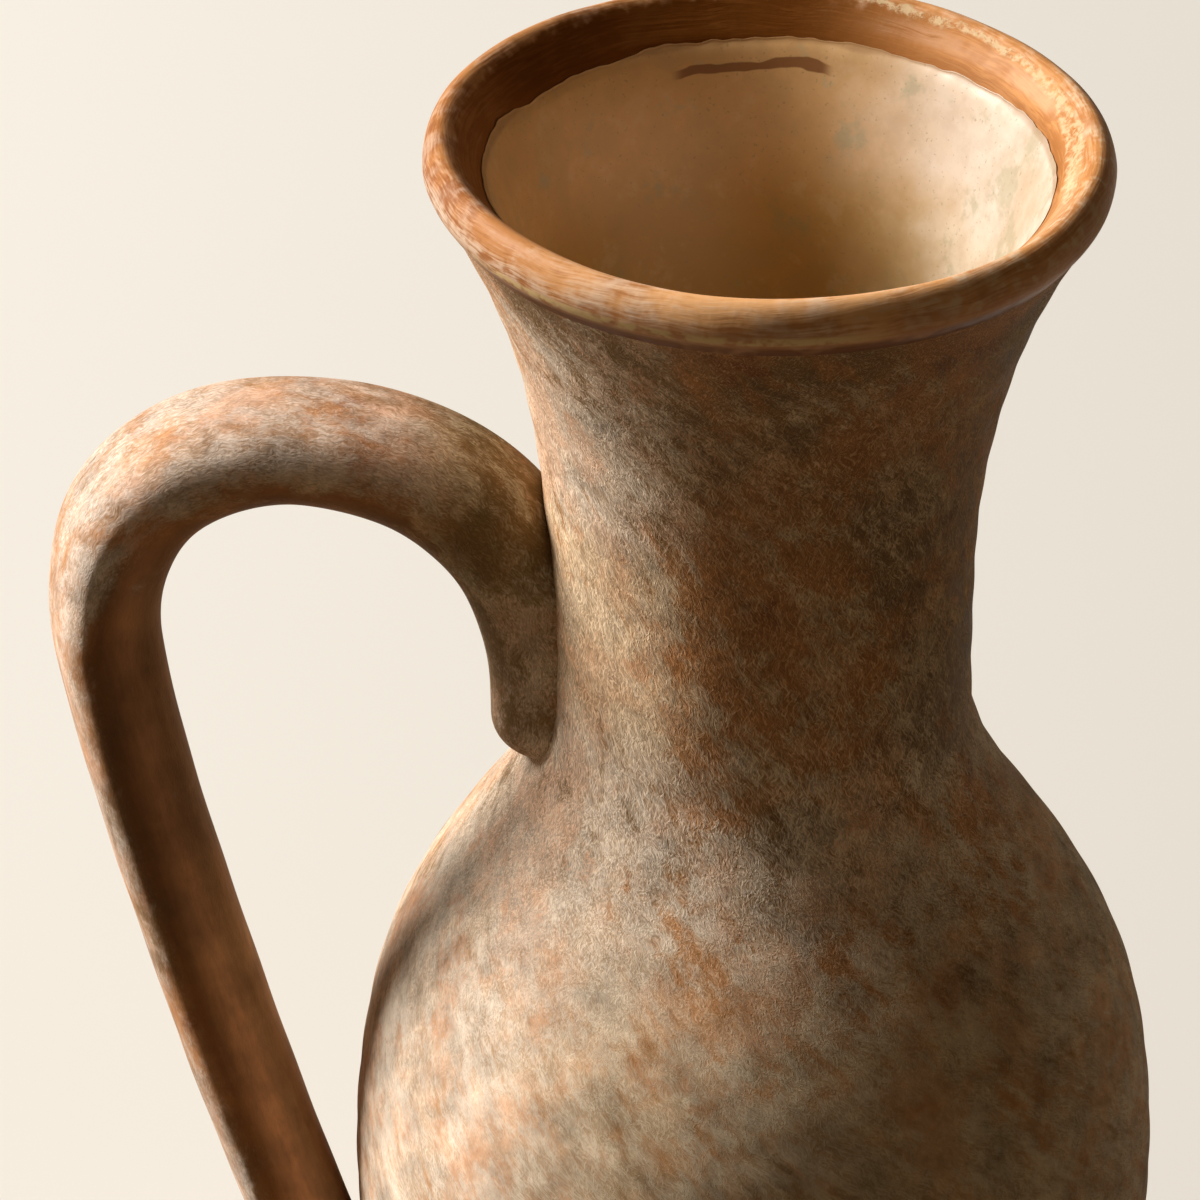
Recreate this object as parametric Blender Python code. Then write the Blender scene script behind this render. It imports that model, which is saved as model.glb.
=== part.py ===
"""Stoneware jug with a pulled strap handle, modelled in metres, +Z up.

The origin is the centre of the flat base, on the axis the pot was thrown on.
The handle stands out toward -X, in the plane y = 0.
"""

import math

import bpy

# Overall sizes
JUG_HEIGHT = 0.300
RIM_RADIUS = 0.060
FOOT_RADIUS = 0.047

# Belly: one curve from the foot to the widest ring, one from there to the crease
BELLY_RADIUS = 0.0748
BELLY_HEIGHT = 0.085
FOOT_ANGLE = math.radians(38)
FOOT_PULL = 0.026
BELLY_LOWER_PULL = 0.045
BELLY_UPPER_PULL = 0.0586
SHOULDER_RISE = 0.0965
SHOULDER_ANGLE = math.radians(12)
SHOULDER_PULL = 0.0320

# Neck: narrowest at the waist, opening to the lip by a power law
WAIST_RADIUS = 0.0383
WAIST_RISE = 0.0155
CREASE_SPREAD = 0.0006
LIP_OVERHANG = 0.0036
FLARE_EXPONENT = 2.65

# Rolled rim
RIM_COIL_RADIUS = 0.0051
LIP_ROOT = 0.0033
UNDERCUT_ANGLE = math.radians(50)

# Clay thicknesses
NECK_WALL = 0.0060
BELLY_WALL = 0.0070
RIM_SEAT_WALL = 0.0070
SLAB_THICKNESS = 0.0062
SLAB_BOSS_HEIGHT = 0.0030
FOOT_CHAMFER = 0.0012

# Stepped seats where one clay piece is luted to the next
CREASE_STEP = 0.0040
RIM_STEP = 0.0020
JOINT_GAP = 0.0003

# Poured glaze
GLAZE_THICKNESS = 0.0009
GLAZE_LINE_DROP = 0.0085

# Handle: centre line in the plane y = 0, set off from the pot that it is pulled on
LEG_STANDOFF = 0.0437
LEG_TOP_RISE = 0.0165
ARCH_STANDOFF = 0.0452
ARCH_RISE = 0.0533
TAIL_DROP = 0.0025
LEG_FOOT_DROP = 0.049
LEG_FOOT_SLOPE = math.radians(50)
LEG_LOWER_PULL = 0.0083
LEG_UPPER_PULL = 0.0265
ARCH_OUTER_RISE_PULL = 0.0288
ARCH_OUTER_PULL = 0.0150
ARCH_INNER_PULL = 0.0074
TAIL_PULL = 0.0530
LEG_FOOT_SINK = 0.002
TAIL_SINK = 0.0034

# Handle strap section
STRAP_WIDTH = 0.026
LEG_THICKNESS = 0.0188
ARCH_THICKNESS = 0.0199
TAIL_THICKNESS = 0.0250
TAIL_WIDTH = 0.0235
LEG_FOOT_ROUNDING = 0.010
TAIL_ROUNDING = 0.009
STRAP_SQUARENESS = 2.3

# Facets
TURNED_SIDES = 48
NECK_STATIONS = 11
SHOULDER_STATIONS = 9
LOWER_STATIONS = 7
COIL_POINTS = 14
STRAP_SIDES = 20
STRAP_STATIONS_PER_CURVE = 12
TIP_STATIONS = 4

# Heights that follow from the sizes above
CREASE_HEIGHT = BELLY_HEIGHT + SHOULDER_RISE
WAIST_HEIGHT = CREASE_HEIGHT + WAIST_RISE
RIM_SEAT_HEIGHT = JUG_HEIGHT - 2 * RIM_COIL_RADIUS - LIP_ROOT


def bezier(start, start_handle, end_handle, end, t):
    """Point of a cubic curve at t, from 0 to 1."""
    weights = ((1 - t) ** 3, 3 * (1 - t) ** 2 * t, 3 * (1 - t) * t ** 2, t ** 3)
    corners = (start, start_handle, end_handle, end)
    return tuple(sum(w * corner[axis] for w, corner in zip(weights, corners)) for axis in (0, 1))


def neck_radius(height):
    """Outer radius of the neck between the crease and the rim's seat."""
    if height >= WAIST_HEIGHT:
        share = (height - WAIST_HEIGHT) / (RIM_SEAT_HEIGHT - WAIST_HEIGHT)
        flare = RIM_RADIUS - LIP_OVERHANG - WAIST_RADIUS
        return WAIST_RADIUS + flare * share ** FLARE_EXPONENT
    share = (WAIST_HEIGHT - height) / (WAIST_HEIGHT - CREASE_HEIGHT)
    return WAIST_RADIUS + CREASE_SPREAD * share ** 2


def foot_outline():
    """Outer (radius, height) points from the foot up to the widest ring."""
    foot = (FOOT_RADIUS, FOOT_CHAMFER)
    foot_handle = (
        foot[0] + FOOT_PULL * math.sin(FOOT_ANGLE),
        foot[1] + FOOT_PULL * math.cos(FOOT_ANGLE),
    )
    widest = (BELLY_RADIUS, BELLY_HEIGHT)
    widest_handle = (BELLY_RADIUS, BELLY_HEIGHT - BELLY_LOWER_PULL)
    steps = range(LOWER_STATIONS + 1)
    return [bezier(foot, foot_handle, widest_handle, widest, k / LOWER_STATIONS) for k in steps]


def shoulder_outline():
    """Outer (radius, height) points from the widest ring up to the crease."""
    widest = (BELLY_RADIUS, BELLY_HEIGHT)
    widest_handle = (BELLY_RADIUS, BELLY_HEIGHT + BELLY_UPPER_PULL)
    crease = (neck_radius(CREASE_HEIGHT), CREASE_HEIGHT)
    crease_handle = (
        crease[0] + SHOULDER_PULL * math.sin(SHOULDER_ANGLE),
        crease[1] - SHOULDER_PULL * math.cos(SHOULDER_ANGLE),
    )
    steps = range(SHOULDER_STATIONS + 1)
    return [bezier(widest, widest_handle, crease_handle, crease, k / SHOULDER_STATIONS) for k in steps]


def neck_outline():
    """Outer (radius, height) points from the crease up to the rim's seat."""
    points = []
    for k in range(NECK_STATIONS + 1):
        height = CREASE_HEIGHT + (RIM_SEAT_HEIGHT - CREASE_HEIGHT) * k / NECK_STATIONS
        points.append((neck_radius(height), height))
    return points


def offset(points, distances):
    """Move an outline square to itself, inward, keeping its corners mitred."""
    moved = []
    for k, (radius, height) in enumerate(points):
        before = points[max(k - 1, 0)]
        after = points[min(k + 1, len(points) - 1)]
        here = (radius, height)
        normals = []
        for a, b in ((before, here), (here, after)):
            length = math.dist(a, b)
            if length > 0:
                normals.append(((b[1] - a[1]) / length, (a[0] - b[0]) / length))
        middle = [sum(n[axis] for n in normals) / len(normals) for axis in (0, 1)]
        mitre = middle[0] ** 2 + middle[1] ** 2
        shift = distances[k] / mitre
        moved.append((radius - middle[0] * shift, height - middle[1] * shift))
    return moved


def cut_between(points, low, high):
    """The stretch of a rising outline between two heights, ends included."""
    inside = [p for p in points if low < p[1] < high]
    return [(radius_at(points, low), low)] + inside + [(radius_at(points, high), high)]


def radius_at(points, height):
    """Radius of a rising outline at a height, read along its straight runs."""
    for (r0, z0), (r1, z1) in zip(points, points[1:]):
        if z0 <= height <= z1:
            return r0 + (r1 - r0) * (height - z0) / (z1 - z0)
    end = points[0] if height < points[0][1] else points[-1]
    return end[0]


def outer_outline():
    """The whole outside of the thrown clay, from the foot to the rim's seat."""
    return foot_outline() + shoulder_outline()[1:] + neck_outline()[1:]


def lip_centre():
    """Radius and height of the centre of the rolled rim."""
    return RIM_RADIUS - RIM_COIL_RADIUS, JUG_HEIGHT - RIM_COIL_RADIUS


def inner_outline():
    """The inside of the clay, from the slab's seat up to the inner lip."""
    outside = outer_outline()
    walls = []
    for _, height in outside:
        share = min(max((height - BELLY_HEIGHT) / (CREASE_HEIGHT - BELLY_HEIGHT), 0.0), 1.0)
        walls.append(BELLY_WALL + (NECK_WALL - BELLY_WALL) * share)
    inside = offset(outside, walls)
    rim_seat = (neck_radius(RIM_SEAT_HEIGHT) - RIM_SEAT_WALL, RIM_SEAT_HEIGHT)
    lip_radius, lip_height = lip_centre()
    lip_inner = (lip_radius - RIM_COIL_RADIUS, lip_height)
    inside = [p for p in inside if p[1] < RIM_SEAT_HEIGHT - RIM_STEP]
    return inside + [rim_seat, lip_inner]


def add_object(name, vertices, faces, material):
    """One closed mesh object, shaded smooth except at its sharp edges."""
    mesh = bpy.data.meshes.new(name)
    mesh.from_pydata(vertices, [], faces)
    mesh.update()
    mesh.shade_smooth()
    mesh.set_sharp_from_angle(angle=math.radians(35))
    mesh.materials.append(material)
    obj = bpy.data.objects.new(name, mesh)
    bpy.context.scene.collection.objects.link(obj)
    return obj


def turned(name, outline, material):
    """A ring turned from an outline that runs up its inside and down its outside."""
    vertices = []
    faces = []
    count = len(outline)
    for side in range(TURNED_SIDES):
        angle = 2 * math.pi * side / TURNED_SIDES
        for radius, height in outline:
            vertices.append((radius * math.cos(angle), radius * math.sin(angle), height))
    for side in range(TURNED_SIDES):
        here = side * count
        there = (side + 1) % TURNED_SIDES * count
        for k in range(count):
            following = (k + 1) % count
            faces.append((here + k, here + following, there + following, there + k))
    return add_object(name, vertices, faces, material)


def turned_solid(name, outline, material):
    """A solid turned from an outline that starts and ends at the axis."""
    body = outline[1:-1]
    vertices = [(0.0, 0.0, outline[0][1]), (0.0, 0.0, outline[-1][1])]
    faces = []
    count = len(body)
    for side in range(TURNED_SIDES):
        angle = 2 * math.pi * side / TURNED_SIDES
        for radius, height in body:
            vertices.append((radius * math.cos(angle), radius * math.sin(angle), height))
    for side in range(TURNED_SIDES):
        here = 2 + side * count
        there = 2 + (side + 1) % TURNED_SIDES * count
        faces.append((0, there, here))
        for k in range(count - 1):
            faces.append((here + k, there + k, there + k + 1, here + k + 1))
        faces.append((1, here + count - 1, there + count - 1))
    return add_object(name, vertices, faces, material)


def make_material(name, colour, roughness):
    """Plain fired clay or glaze."""
    material = bpy.data.materials.new(name)
    material.use_nodes = True
    shader = material.node_tree.nodes["Principled BSDF"]
    shader.inputs["Base Color"].default_value = (*colour, 1.0)
    shader.inputs["Roughness"].default_value = roughness
    shader.inputs["Metallic"].default_value = 0.0
    return material


def make_base_slab():
    """Flat clay disc that the belly stands on, with a boss inside the wall."""
    outside = outer_outline()
    inside = inner_outline()
    seat = SLAB_THICKNESS
    boss_top = seat + SLAB_BOSS_HEIGHT
    outline = [
        (0.0, 0.0),
        (FOOT_RADIUS - FOOT_CHAMFER, 0.0),
        (FOOT_RADIUS, FOOT_CHAMFER),
        (radius_at(outside, seat), seat),
        (radius_at(inside, seat) - JOINT_GAP, seat),
        (radius_at(inside, seat) - JOINT_GAP, boss_top),
        (0.0, boss_top),
    ]
    return turned_solid("base_slab", outline, make_material("foot_clay", (0.42, 0.21, 0.11), 0.85))


def make_belly():
    """Thrown wall from the slab to the crease, with a tongue that the neck fits over."""
    low = SLAB_THICKNESS + JOINT_GAP
    tongue_top = CREASE_HEIGHT + CREASE_STEP
    seat = CREASE_HEIGHT - JOINT_GAP / 2
    outside = cut_between(outer_outline(), low, seat)
    inside = cut_between(inner_outline(), low, tongue_top)
    tongue = seat_radius() - JOINT_GAP / 2
    outline = inside + [(tongue, tongue_top), (tongue, seat)] + outside[::-1]
    return turned("belly", outline, make_material("belly_slip", (0.46, 0.27, 0.16), 0.80))


def seat_radius():
    """Middle of the wall at the crease, where the step between belly and neck lies."""
    return (radius_at(outer_outline(), CREASE_HEIGHT) + radius_at(inner_outline(), CREASE_HEIGHT)) / 2


def rim_seat_radius():
    """Middle of the wall under the rolled rim."""
    return (radius_at(outer_outline(), RIM_SEAT_HEIGHT) + radius_at(inner_outline(), RIM_SEAT_HEIGHT)) / 2


def make_neck():
    """Collar between the belly and the rolled rim, stepped at both ends."""
    low = CREASE_HEIGHT + JOINT_GAP / 2
    groove_top = CREASE_HEIGHT + CREASE_STEP + JOINT_GAP
    groove = seat_radius() + JOINT_GAP / 2
    high = RIM_SEAT_HEIGHT - JOINT_GAP
    step_top = high + RIM_STEP
    step = rim_seat_radius() - JOINT_GAP / 2
    outside = cut_between(outer_outline(), low, high)
    inside = cut_between(inner_outline(), groove_top, step_top)
    upper_step = [(step, step_top), (step, high)]
    lower_groove = [(groove, low), (groove, groove_top)]
    outline = inside + upper_step + outside[::-1] + lower_groove
    return turned("neck", outline, make_material("neck_slip", (0.45, 0.25, 0.14), 0.80))


def make_rim_coil():
    """Rolled lip whose round section sits on the neck's stepped end."""
    centre_radius, centre_height = lip_centre()
    seat = RIM_SEAT_HEIGHT
    step_top = seat + RIM_STEP
    step = rim_seat_radius() + JOINT_GAP / 2
    inner_radius = radius_at(inner_outline(), step_top)
    under = radius_at(outer_outline(), seat)
    outline = [(inner_radius, step_top)]
    for k in range(COIL_POINTS + 1):
        angle = math.pi - (math.pi + UNDERCUT_ANGLE) * k / COIL_POINTS
        radius = centre_radius + RIM_COIL_RADIUS * math.cos(angle)
        height = centre_height + RIM_COIL_RADIUS * math.sin(angle)
        outline.append((radius, height))
    outline += [(under, seat), (step, seat), (step, step_top)]
    return turned("rim_coil", outline, make_material("rim_clay", (0.50, 0.26, 0.12), 0.65))


def make_glaze_lining():
    """Poured glaze that lines the pot from the floor to just under the lip."""
    clay = inner_outline()
    outside = offset(clay, [JOINT_GAP] * len(clay))
    inside = offset(clay, [JOINT_GAP + GLAZE_THICKNESS] * len(clay))
    line = JUG_HEIGHT - GLAZE_LINE_DROP
    floor = SLAB_THICKNESS + SLAB_BOSS_HEIGHT + JOINT_GAP
    floor_top = floor + GLAZE_THICKNESS
    wet_side = cut_between(inside, floor_top, line)
    clay_side = cut_between(outside, floor, line)
    outline = [(0.0, floor)] + clay_side + wet_side[::-1] + [(0.0, floor_top)]
    return turned_solid("glaze_lining", outline, make_material("ivory_glaze", (0.78, 0.62, 0.42), 0.15))


def leg_foot_point():
    """Where the handle's lower end is pressed on to the belly."""
    height = BELLY_HEIGHT - LEG_FOOT_DROP
    return radius_at(outer_outline(), height) + LEG_THICKNESS / 2 - LEG_FOOT_SINK, height


def tail_point():
    """Where the handle's upper end is smeared down over the crease."""
    height = CREASE_HEIGHT - TAIL_DROP
    return radius_at(outer_outline(), height) - TAIL_SINK, height


def strap_curves():
    """The leg, the outer arch and the inner arch with its tail, as cubic curves."""
    foot = leg_foot_point()
    tail = tail_point()
    leg_top = (BELLY_RADIUS + LEG_STANDOFF, CREASE_HEIGHT + LEG_TOP_RISE)
    arch = (WAIST_RADIUS + ARCH_STANDOFF, CREASE_HEIGHT + ARCH_RISE)
    foot_handle = (
        foot[0] + LEG_LOWER_PULL * math.sin(LEG_FOOT_SLOPE),
        foot[1] + LEG_LOWER_PULL * math.cos(LEG_FOOT_SLOPE),
    )
    leg = (foot, foot_handle, (leg_top[0], leg_top[1] - LEG_UPPER_PULL), leg_top)
    rise_handle = (leg_top[0], leg_top[1] + ARCH_OUTER_RISE_PULL)
    outer_arch = (leg_top, rise_handle, (arch[0] + ARCH_OUTER_PULL, arch[1]), arch)
    inner_arch = (arch, (arch[0] - ARCH_INNER_PULL, arch[1]), (tail[0], tail[1] + TAIL_PULL), tail)
    return leg, outer_arch, inner_arch


def strap_stations():
    """Centre (reach, height), thickness and width along the handle, leg foot first."""
    thicknesses = (LEG_THICKNESS, LEG_THICKNESS, ARCH_THICKNESS, TAIL_THICKNESS)
    widths = (STRAP_WIDTH, STRAP_WIDTH, STRAP_WIDTH, TAIL_WIDTH)
    curves = strap_curves()
    stations = []
    for index, curve in enumerate(curves):
        for k in range(STRAP_STATIONS_PER_CURVE):
            t = k / STRAP_STATIONS_PER_CURVE
            ease = t * t * (3 - 2 * t)
            thickness = thicknesses[index] + (thicknesses[index + 1] - thicknesses[index]) * ease
            width = widths[index] + (widths[index + 1] - widths[index]) * ease
            stations.append((bezier(*curve, t), thickness, width))
    stations.append((curves[-1][-1], thicknesses[-1], widths[-1]))
    return stations


def rounded_tips(stations):
    """Add shrinking stations at both ends, so that the strap ends in round tips."""
    result = list(stations)
    for end, rounding in ((0, LEG_FOOT_ROUNDING), (-1, TAIL_ROUNDING)):
        (centre, thick, width) = stations[end]
        (beside, _, _) = stations[1 if end == 0 else -2]
        length = math.dist(centre, beside)
        direction = [(centre[axis] - beside[axis]) / length for axis in (0, 1)]
        tip = []
        for k in range(1, TIP_STATIONS + 1):
            angle = math.pi / 2 * k / (TIP_STATIONS + 0.5)
            along = rounding * math.sin(angle)
            shrink = math.cos(angle)
            point = (centre[0] + direction[0] * along, centre[1] + direction[1] * along)
            tip.append((point, thick * shrink, width * shrink))
        result = tip[::-1] + result if end == 0 else result + tip
    return result


def strap_ring(centre, direction, thick, width):
    """One ring of the strap: a superellipse square to its centre line."""
    ring = []
    for side in range(STRAP_SIDES):
        angle = 2 * math.pi * side / STRAP_SIDES
        cosine = math.copysign(abs(math.cos(angle)) ** (2 / STRAP_SQUARENESS), math.cos(angle))
        sine = math.copysign(abs(math.sin(angle)) ** (2 / STRAP_SQUARENESS), math.sin(angle))
        across = thick / 2 * cosine
        reach = centre[0] + direction[1] * across
        height = centre[1] - direction[0] * across
        ring.append((-reach, width / 2 * sine, height))
    return ring


def make_pot_cutter():
    """A guide solid with the outside of the pot plus the joint gap, to shape the handle's ends."""
    outside = outer_outline()
    swollen = offset(outside, [-JOINT_GAP] * len(outside))
    outline = [(0.0, -FOOT_RADIUS), (swollen[0][0], -FOOT_RADIUS)] + swollen + [(0.0, swollen[-1][1])]
    cutter = turned_solid("pot_cutter", outline, make_material("cutter", (1.0, 1.0, 1.0), 1.0))
    cutter.hide_render = True
    cutter.display_type = "WIRE"
    return cutter


def make_handle(cutter):
    """Pulled strap from the lower belly, over the arch, down to the crease of the neck."""
    stations = rounded_tips(strap_stations())
    vertices = []
    faces = []
    for k, (centre, thick, width) in enumerate(stations):
        before = stations[max(k - 1, 0)][0]
        after = stations[min(k + 1, len(stations) - 1)][0]
        length = math.dist(before, after)
        direction = [(after[axis] - before[axis]) / length for axis in (0, 1)]
        vertices += strap_ring(centre, direction, thick, width)
    for k in range(len(stations) - 1):
        for side in range(STRAP_SIDES):
            following = (side + 1) % STRAP_SIDES
            here = k * STRAP_SIDES
            there = here + STRAP_SIDES
            faces.append((here + side, there + side, there + following, here + following))
    faces.append(tuple(range(STRAP_SIDES)))
    last = (len(stations) - 1) * STRAP_SIDES
    faces.append(tuple(last + side for side in reversed(range(STRAP_SIDES))))
    handle = add_object("handle", vertices, faces, make_material("handle_slip", (0.48, 0.28, 0.17), 0.80))
    cut = handle.modifiers.new("seat_on_pot", "BOOLEAN")
    cut.operation = "DIFFERENCE"
    cut.solver = "EXACT"
    cut.object = cutter
    return handle


def main():
    for obj in list(bpy.data.objects):
        bpy.data.objects.remove(obj, do_unlink=True)
    make_base_slab()
    make_belly()
    make_neck()
    make_rim_coil()
    make_glaze_lining()
    make_handle(make_pot_cutter())


main()
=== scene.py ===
import math

import bpy
import numpy as np
from mathutils import Matrix, Vector, noise


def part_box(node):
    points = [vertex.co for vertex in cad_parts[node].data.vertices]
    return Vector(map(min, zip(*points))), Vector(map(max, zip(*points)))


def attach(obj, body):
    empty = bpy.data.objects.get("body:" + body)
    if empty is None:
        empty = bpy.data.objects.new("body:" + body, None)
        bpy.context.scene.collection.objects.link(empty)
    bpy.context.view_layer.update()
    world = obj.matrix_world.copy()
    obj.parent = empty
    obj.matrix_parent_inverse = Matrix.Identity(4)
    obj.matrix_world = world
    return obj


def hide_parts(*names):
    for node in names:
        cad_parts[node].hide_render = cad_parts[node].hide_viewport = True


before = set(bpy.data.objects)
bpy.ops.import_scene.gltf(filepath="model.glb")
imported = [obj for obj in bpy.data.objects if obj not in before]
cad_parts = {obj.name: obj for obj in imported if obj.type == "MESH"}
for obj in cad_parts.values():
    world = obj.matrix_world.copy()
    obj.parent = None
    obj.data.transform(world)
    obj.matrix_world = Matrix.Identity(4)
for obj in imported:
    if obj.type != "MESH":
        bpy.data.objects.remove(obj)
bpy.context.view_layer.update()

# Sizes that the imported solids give
JUG_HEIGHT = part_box("rim_coil")[1].z
RIM_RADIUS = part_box("rim_coil")[1].x
BELLY_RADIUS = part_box("belly")[1].x
SLAB_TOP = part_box("belly")[0].z
CREASE_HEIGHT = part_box("neck")[0].z
GLAZE_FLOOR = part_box("glaze_lining")[0].z
STRAP_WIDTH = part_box("handle")[1].y * 2

# Outline of the thrown clay, as in the solids
FOOT_RADIUS = 0.047
FOOT_CHAMFER = 0.0012
FOOT_WEAR = 0.0004
FOOT_RIM_WIDTH = 0.012
SLAB_EDGE_HEIGHT = 0.004
SLAB_MIDDLE_RISE = 0.002
SLAB_MIDDLE_GAP = 0.001
BELLY_HEIGHT = 0.085
FOOT_ANGLE = math.radians(38)
FOOT_PULL = 0.026
BELLY_LOWER_PULL = 0.045
BELLY_UPPER_PULL = 0.0586
SHOULDER_ANGLE = math.radians(12)
SHOULDER_PULL = 0.0320
WAIST_RADIUS = 0.0383
WAIST_RISE = 0.0155
CREASE_SPREAD = 0.0006
NECK_HANDOVER = 0.006
LIP_OVERHANG = 0.0036
FLARE_EXPONENT = 2.65
RIM_COIL_RADIUS = 0.0051
LIP_ROOT = 0.0033
WALL = 0.0065
GLAZE_GAP = 0.0003
GLAZE_THICKNESS = 0.0007
INSIDE_START = 0.003
INSIDE_SOFTNESS = 0.008
OUTSIDE_SHARE = 0.3
RIM_SEAT_HEIGHT = JUG_HEIGHT - 2 * RIM_COIL_RADIUS - LIP_ROOT
WAIST_HEIGHT = CREASE_HEIGHT + WAIST_RISE

# The rolled lip's section as (radius, drop below the top of the jug), up the inside and down the outside
LIP_BASE_DROP = 0.0120
LIP_SECTION = (
    (0.0498, 0.0081), (0.0515, 0.0062), (0.0533, 0.0042), (0.0547, 0.0027), (0.0559, 0.0016),
    (0.0570, 0.0012), (0.0581, 0.0016), (0.0589, 0.0023), (0.0595, 0.0032), (0.05995, 0.0044),
    (0.0602, 0.0058), (0.0601, 0.0074), (0.0595, 0.0089), (0.0585, 0.0103), (0.0575, 0.0113),
)
LIP_SOFTNESS = 0.0016
INSIDE_LIP_DROPS = ((0.0448, 0.0220), (0.0479, 0.0125))
PLAIN_INSIDE_DROP = 0.0340

# The glaze's top edge, toward which its gap and thickness taper, and its rounded corner at the floor
GLAZE_LINE_DROP = 0.0081
GLAZE_THINNING = 0.010
EDGE_GAP = 0.00004
EDGE_THICKNESS = 0.00030
EDGE_RISE = 0.0006
GLAZE_FLOOR_RISE = 0.003
GLAZE_CORNER = 0.004

# The lip leans a little over the body, and its plane isn't quite level
LEAN_START = 0.215
LEAN_END = 0.288
LIP_LEAN = (0.00014, -0.0014)
LIP_TILT = (-0.0085, -0.0017)

# Where the glaze line dips: angle round the mouth, depth and half width in radians
GLAZE_NOTCHES = ((2.62, 0.0011, 0.13), (2.20, 0.0007, 0.08), (0.62, 0.0006, 0.10))

# How the glaze line rises and falls: waves as (times round, depth, phase), and noise as (size, depth)
GLAZE_WAVES = ((2, 0.0004, 0.3), (5, 0.0003, 0.0), (9, 0.00025, 2.0))
GLAZE_RIPPLES = ((0.0080, 0.0004), (0.0026, 0.0004))
GLAZE_WAVE_REACH = 0.008
GLAZE_RUN_DEPTH = 0.00012
GLAZE_RUNS = 7
GLAZE_RUN_PHASE = 3.0
GLAZE_RUN_RATE = 30
WET_SHARE = 0.6

# Handle, as in the solids
LEG_STANDOFF = 0.0437
LEG_TOP_RISE = 0.0165
ARCH_STANDOFF = 0.0452
ARCH_RISE = 0.0533
TAIL_DROP = 0.0025
LEG_FOOT_DROP = 0.049
LEG_FOOT_SLOPE = math.radians(50)
LEG_LOWER_PULL = 0.0083
LEG_UPPER_PULL = 0.0265
ARCH_OUTER_RISE_PULL = 0.0288
ARCH_OUTER_PULL = 0.0150
ARCH_INNER_PULL = 0.0074
TAIL_PULL = 0.0530
LEG_FOOT_SINK = 0.002
TAIL_SINK = 0.0034
STRAP_DEPTH_IN_WALL = 0.004
LEG_THICKNESS = 0.0188
ARCH_THICKNESS = 0.0199
TAIL_THICKNESS = 0.0250
TAIL_WIDTH = 0.0235
LEG_FOOT_ROUNDING = 0.010
TAIL_ROUNDING = 0.009

# The strap's section at the leg foot, leg top, arch and tail: how square it is, and its turn in degrees
STRAP_SQUARENESS = (3.6, 3.2, 2.3, 2.4)
STRAP_TURNS = (-19.0, -16.0, -3.0, 0.0)

# The leg foot is pressed thinner and rounder against the belly, over a share of the leg
LEG_SMEAR = 0.0062
LEG_SMEAR_SHARE = 0.26
LEG_SMEAR_ROUNDING = 1.4
LEG_SMEAR_FALL = 1.5

# Mesh density
COLUMNS = 320
ROW_STEP = 0.0012
FINE_STEP = ROW_STEP / 3
INNER_ROW_STEP = 0.005
LIP_STEP = 0.0005
GLAZE_ROW_STEP = 0.0022
GLAZE_EDGE_STEPS = 8
CURVE_POINTS = 120
SLOPE_STEP = 0.001
STRAP_SIDES = 96
STRAP_STATIONS_PER_CURVE = 120
TIP_STATIONS = 14
TIP_OPENING = 0.3
SHARP_ANGLE = math.radians(60)

# Hand throwing: how far the surface wanders from a true turned form
SWAY = 0.00025
SWAY_PHASE = -0.7
SWAY_TWIST = 9.0
SWAY_RATE = 14.0
SWAY_START = 0.6
OVAL_SHARE = 0.8
OVAL_PHASE = 1.1
OVAL_TWIST = 6.0
RING_PITCH = 0.011
RING_DEPTH = 0.00008
DENT_SIZE = 0.030
DENT_DEPTH = 0.00035
NOISE_RADIUS = 0.06
GLAZE_NOISE_RADIUS = 0.05
GLAZE_NOISE_HEIGHT = 0.3
CREASE_SOFTNESS = 0.0034
LUMP_SIZE = 0.012
LUMP_DEPTH = 0.00018
LUMP_RISE = 0.006
LIP_BAND_REACH = 0.0535
LIP_BAND_BLEND = 0.004
CREST_WAVES = ((2, 0.00022, 0.4), (5, 0.00018, 1.3))
SWELL_SIZE = 0.022
SWELL_SHARE = 0.018
SWELL_RIPPLE = 0.006
SWELL_RIPPLE_RATE = 260

# The photograph's camera, fitted to the jug's outlines
IMAGE_SIZE = 1200
CAMERA_DISTANCE = 1.2
SIGHT_ELEVATION = math.radians(28.36)
CAMERA_ROLL = math.radians(0.14)
FOCAL_PIXELS = 6932
MOUTH_PIXEL = (768.6, 125.1)
SENSOR = 36.0
CAMERA_RANGE = 20.0

# Studio: the paper's floor, curve and wall, its colours as seen and as it lights the jug, and the air's
SWEEP_HALF_WIDTH = 12.0
SWEEP_FRONT = -12.0
SWEEP_CURVE_START = 4.0
SWEEP_CURVE_RADIUS = 1.5
SWEEP_CURVE_STEPS = 12
SWEEP_TOP = 8.0
PAPER_SEEN = (0.84, 0.82, 0.78)
PAPER_LIT = (0.15, 0.11, 0.065)
PAPER_GRAIN = (0.5, 0.48, 0.45)
AIR_SEEN = (0.80, 0.78, 0.74)
AIR_DIM = (1.0, 0.74, 0.40)
AIR_STRENGTH = 0.045

# Lamps: name, azimuth and elevation in degrees, distance, size, power and colour
LAMPS = (
    ("key", 102, 35, 4.0, 1.6, 268.0, (1.0, 0.96, 0.90)),
    ("fill", -60, 30, 2.4, 1.6, 1.35, (1.0, 0.80, 0.54)),
    ("back", -150, 28, 3.0, 2.0, 4.0, (1.0, 0.84, 0.60)),
)
LAMP_AIM_SHARE = 0.6


def bezier(start, start_handle, end_handle, end, t):
    """Point of a cubic curve at t, from 0 to 1."""
    weights = ((1 - t) ** 3, 3 * (1 - t) ** 2 * t, 3 * (1 - t) * t ** 2, t ** 3)
    corners = (start, start_handle, end_handle, end)
    return tuple(sum(w * corner[axis] for w, corner in zip(weights, corners)) for axis in (0, 1))


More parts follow.
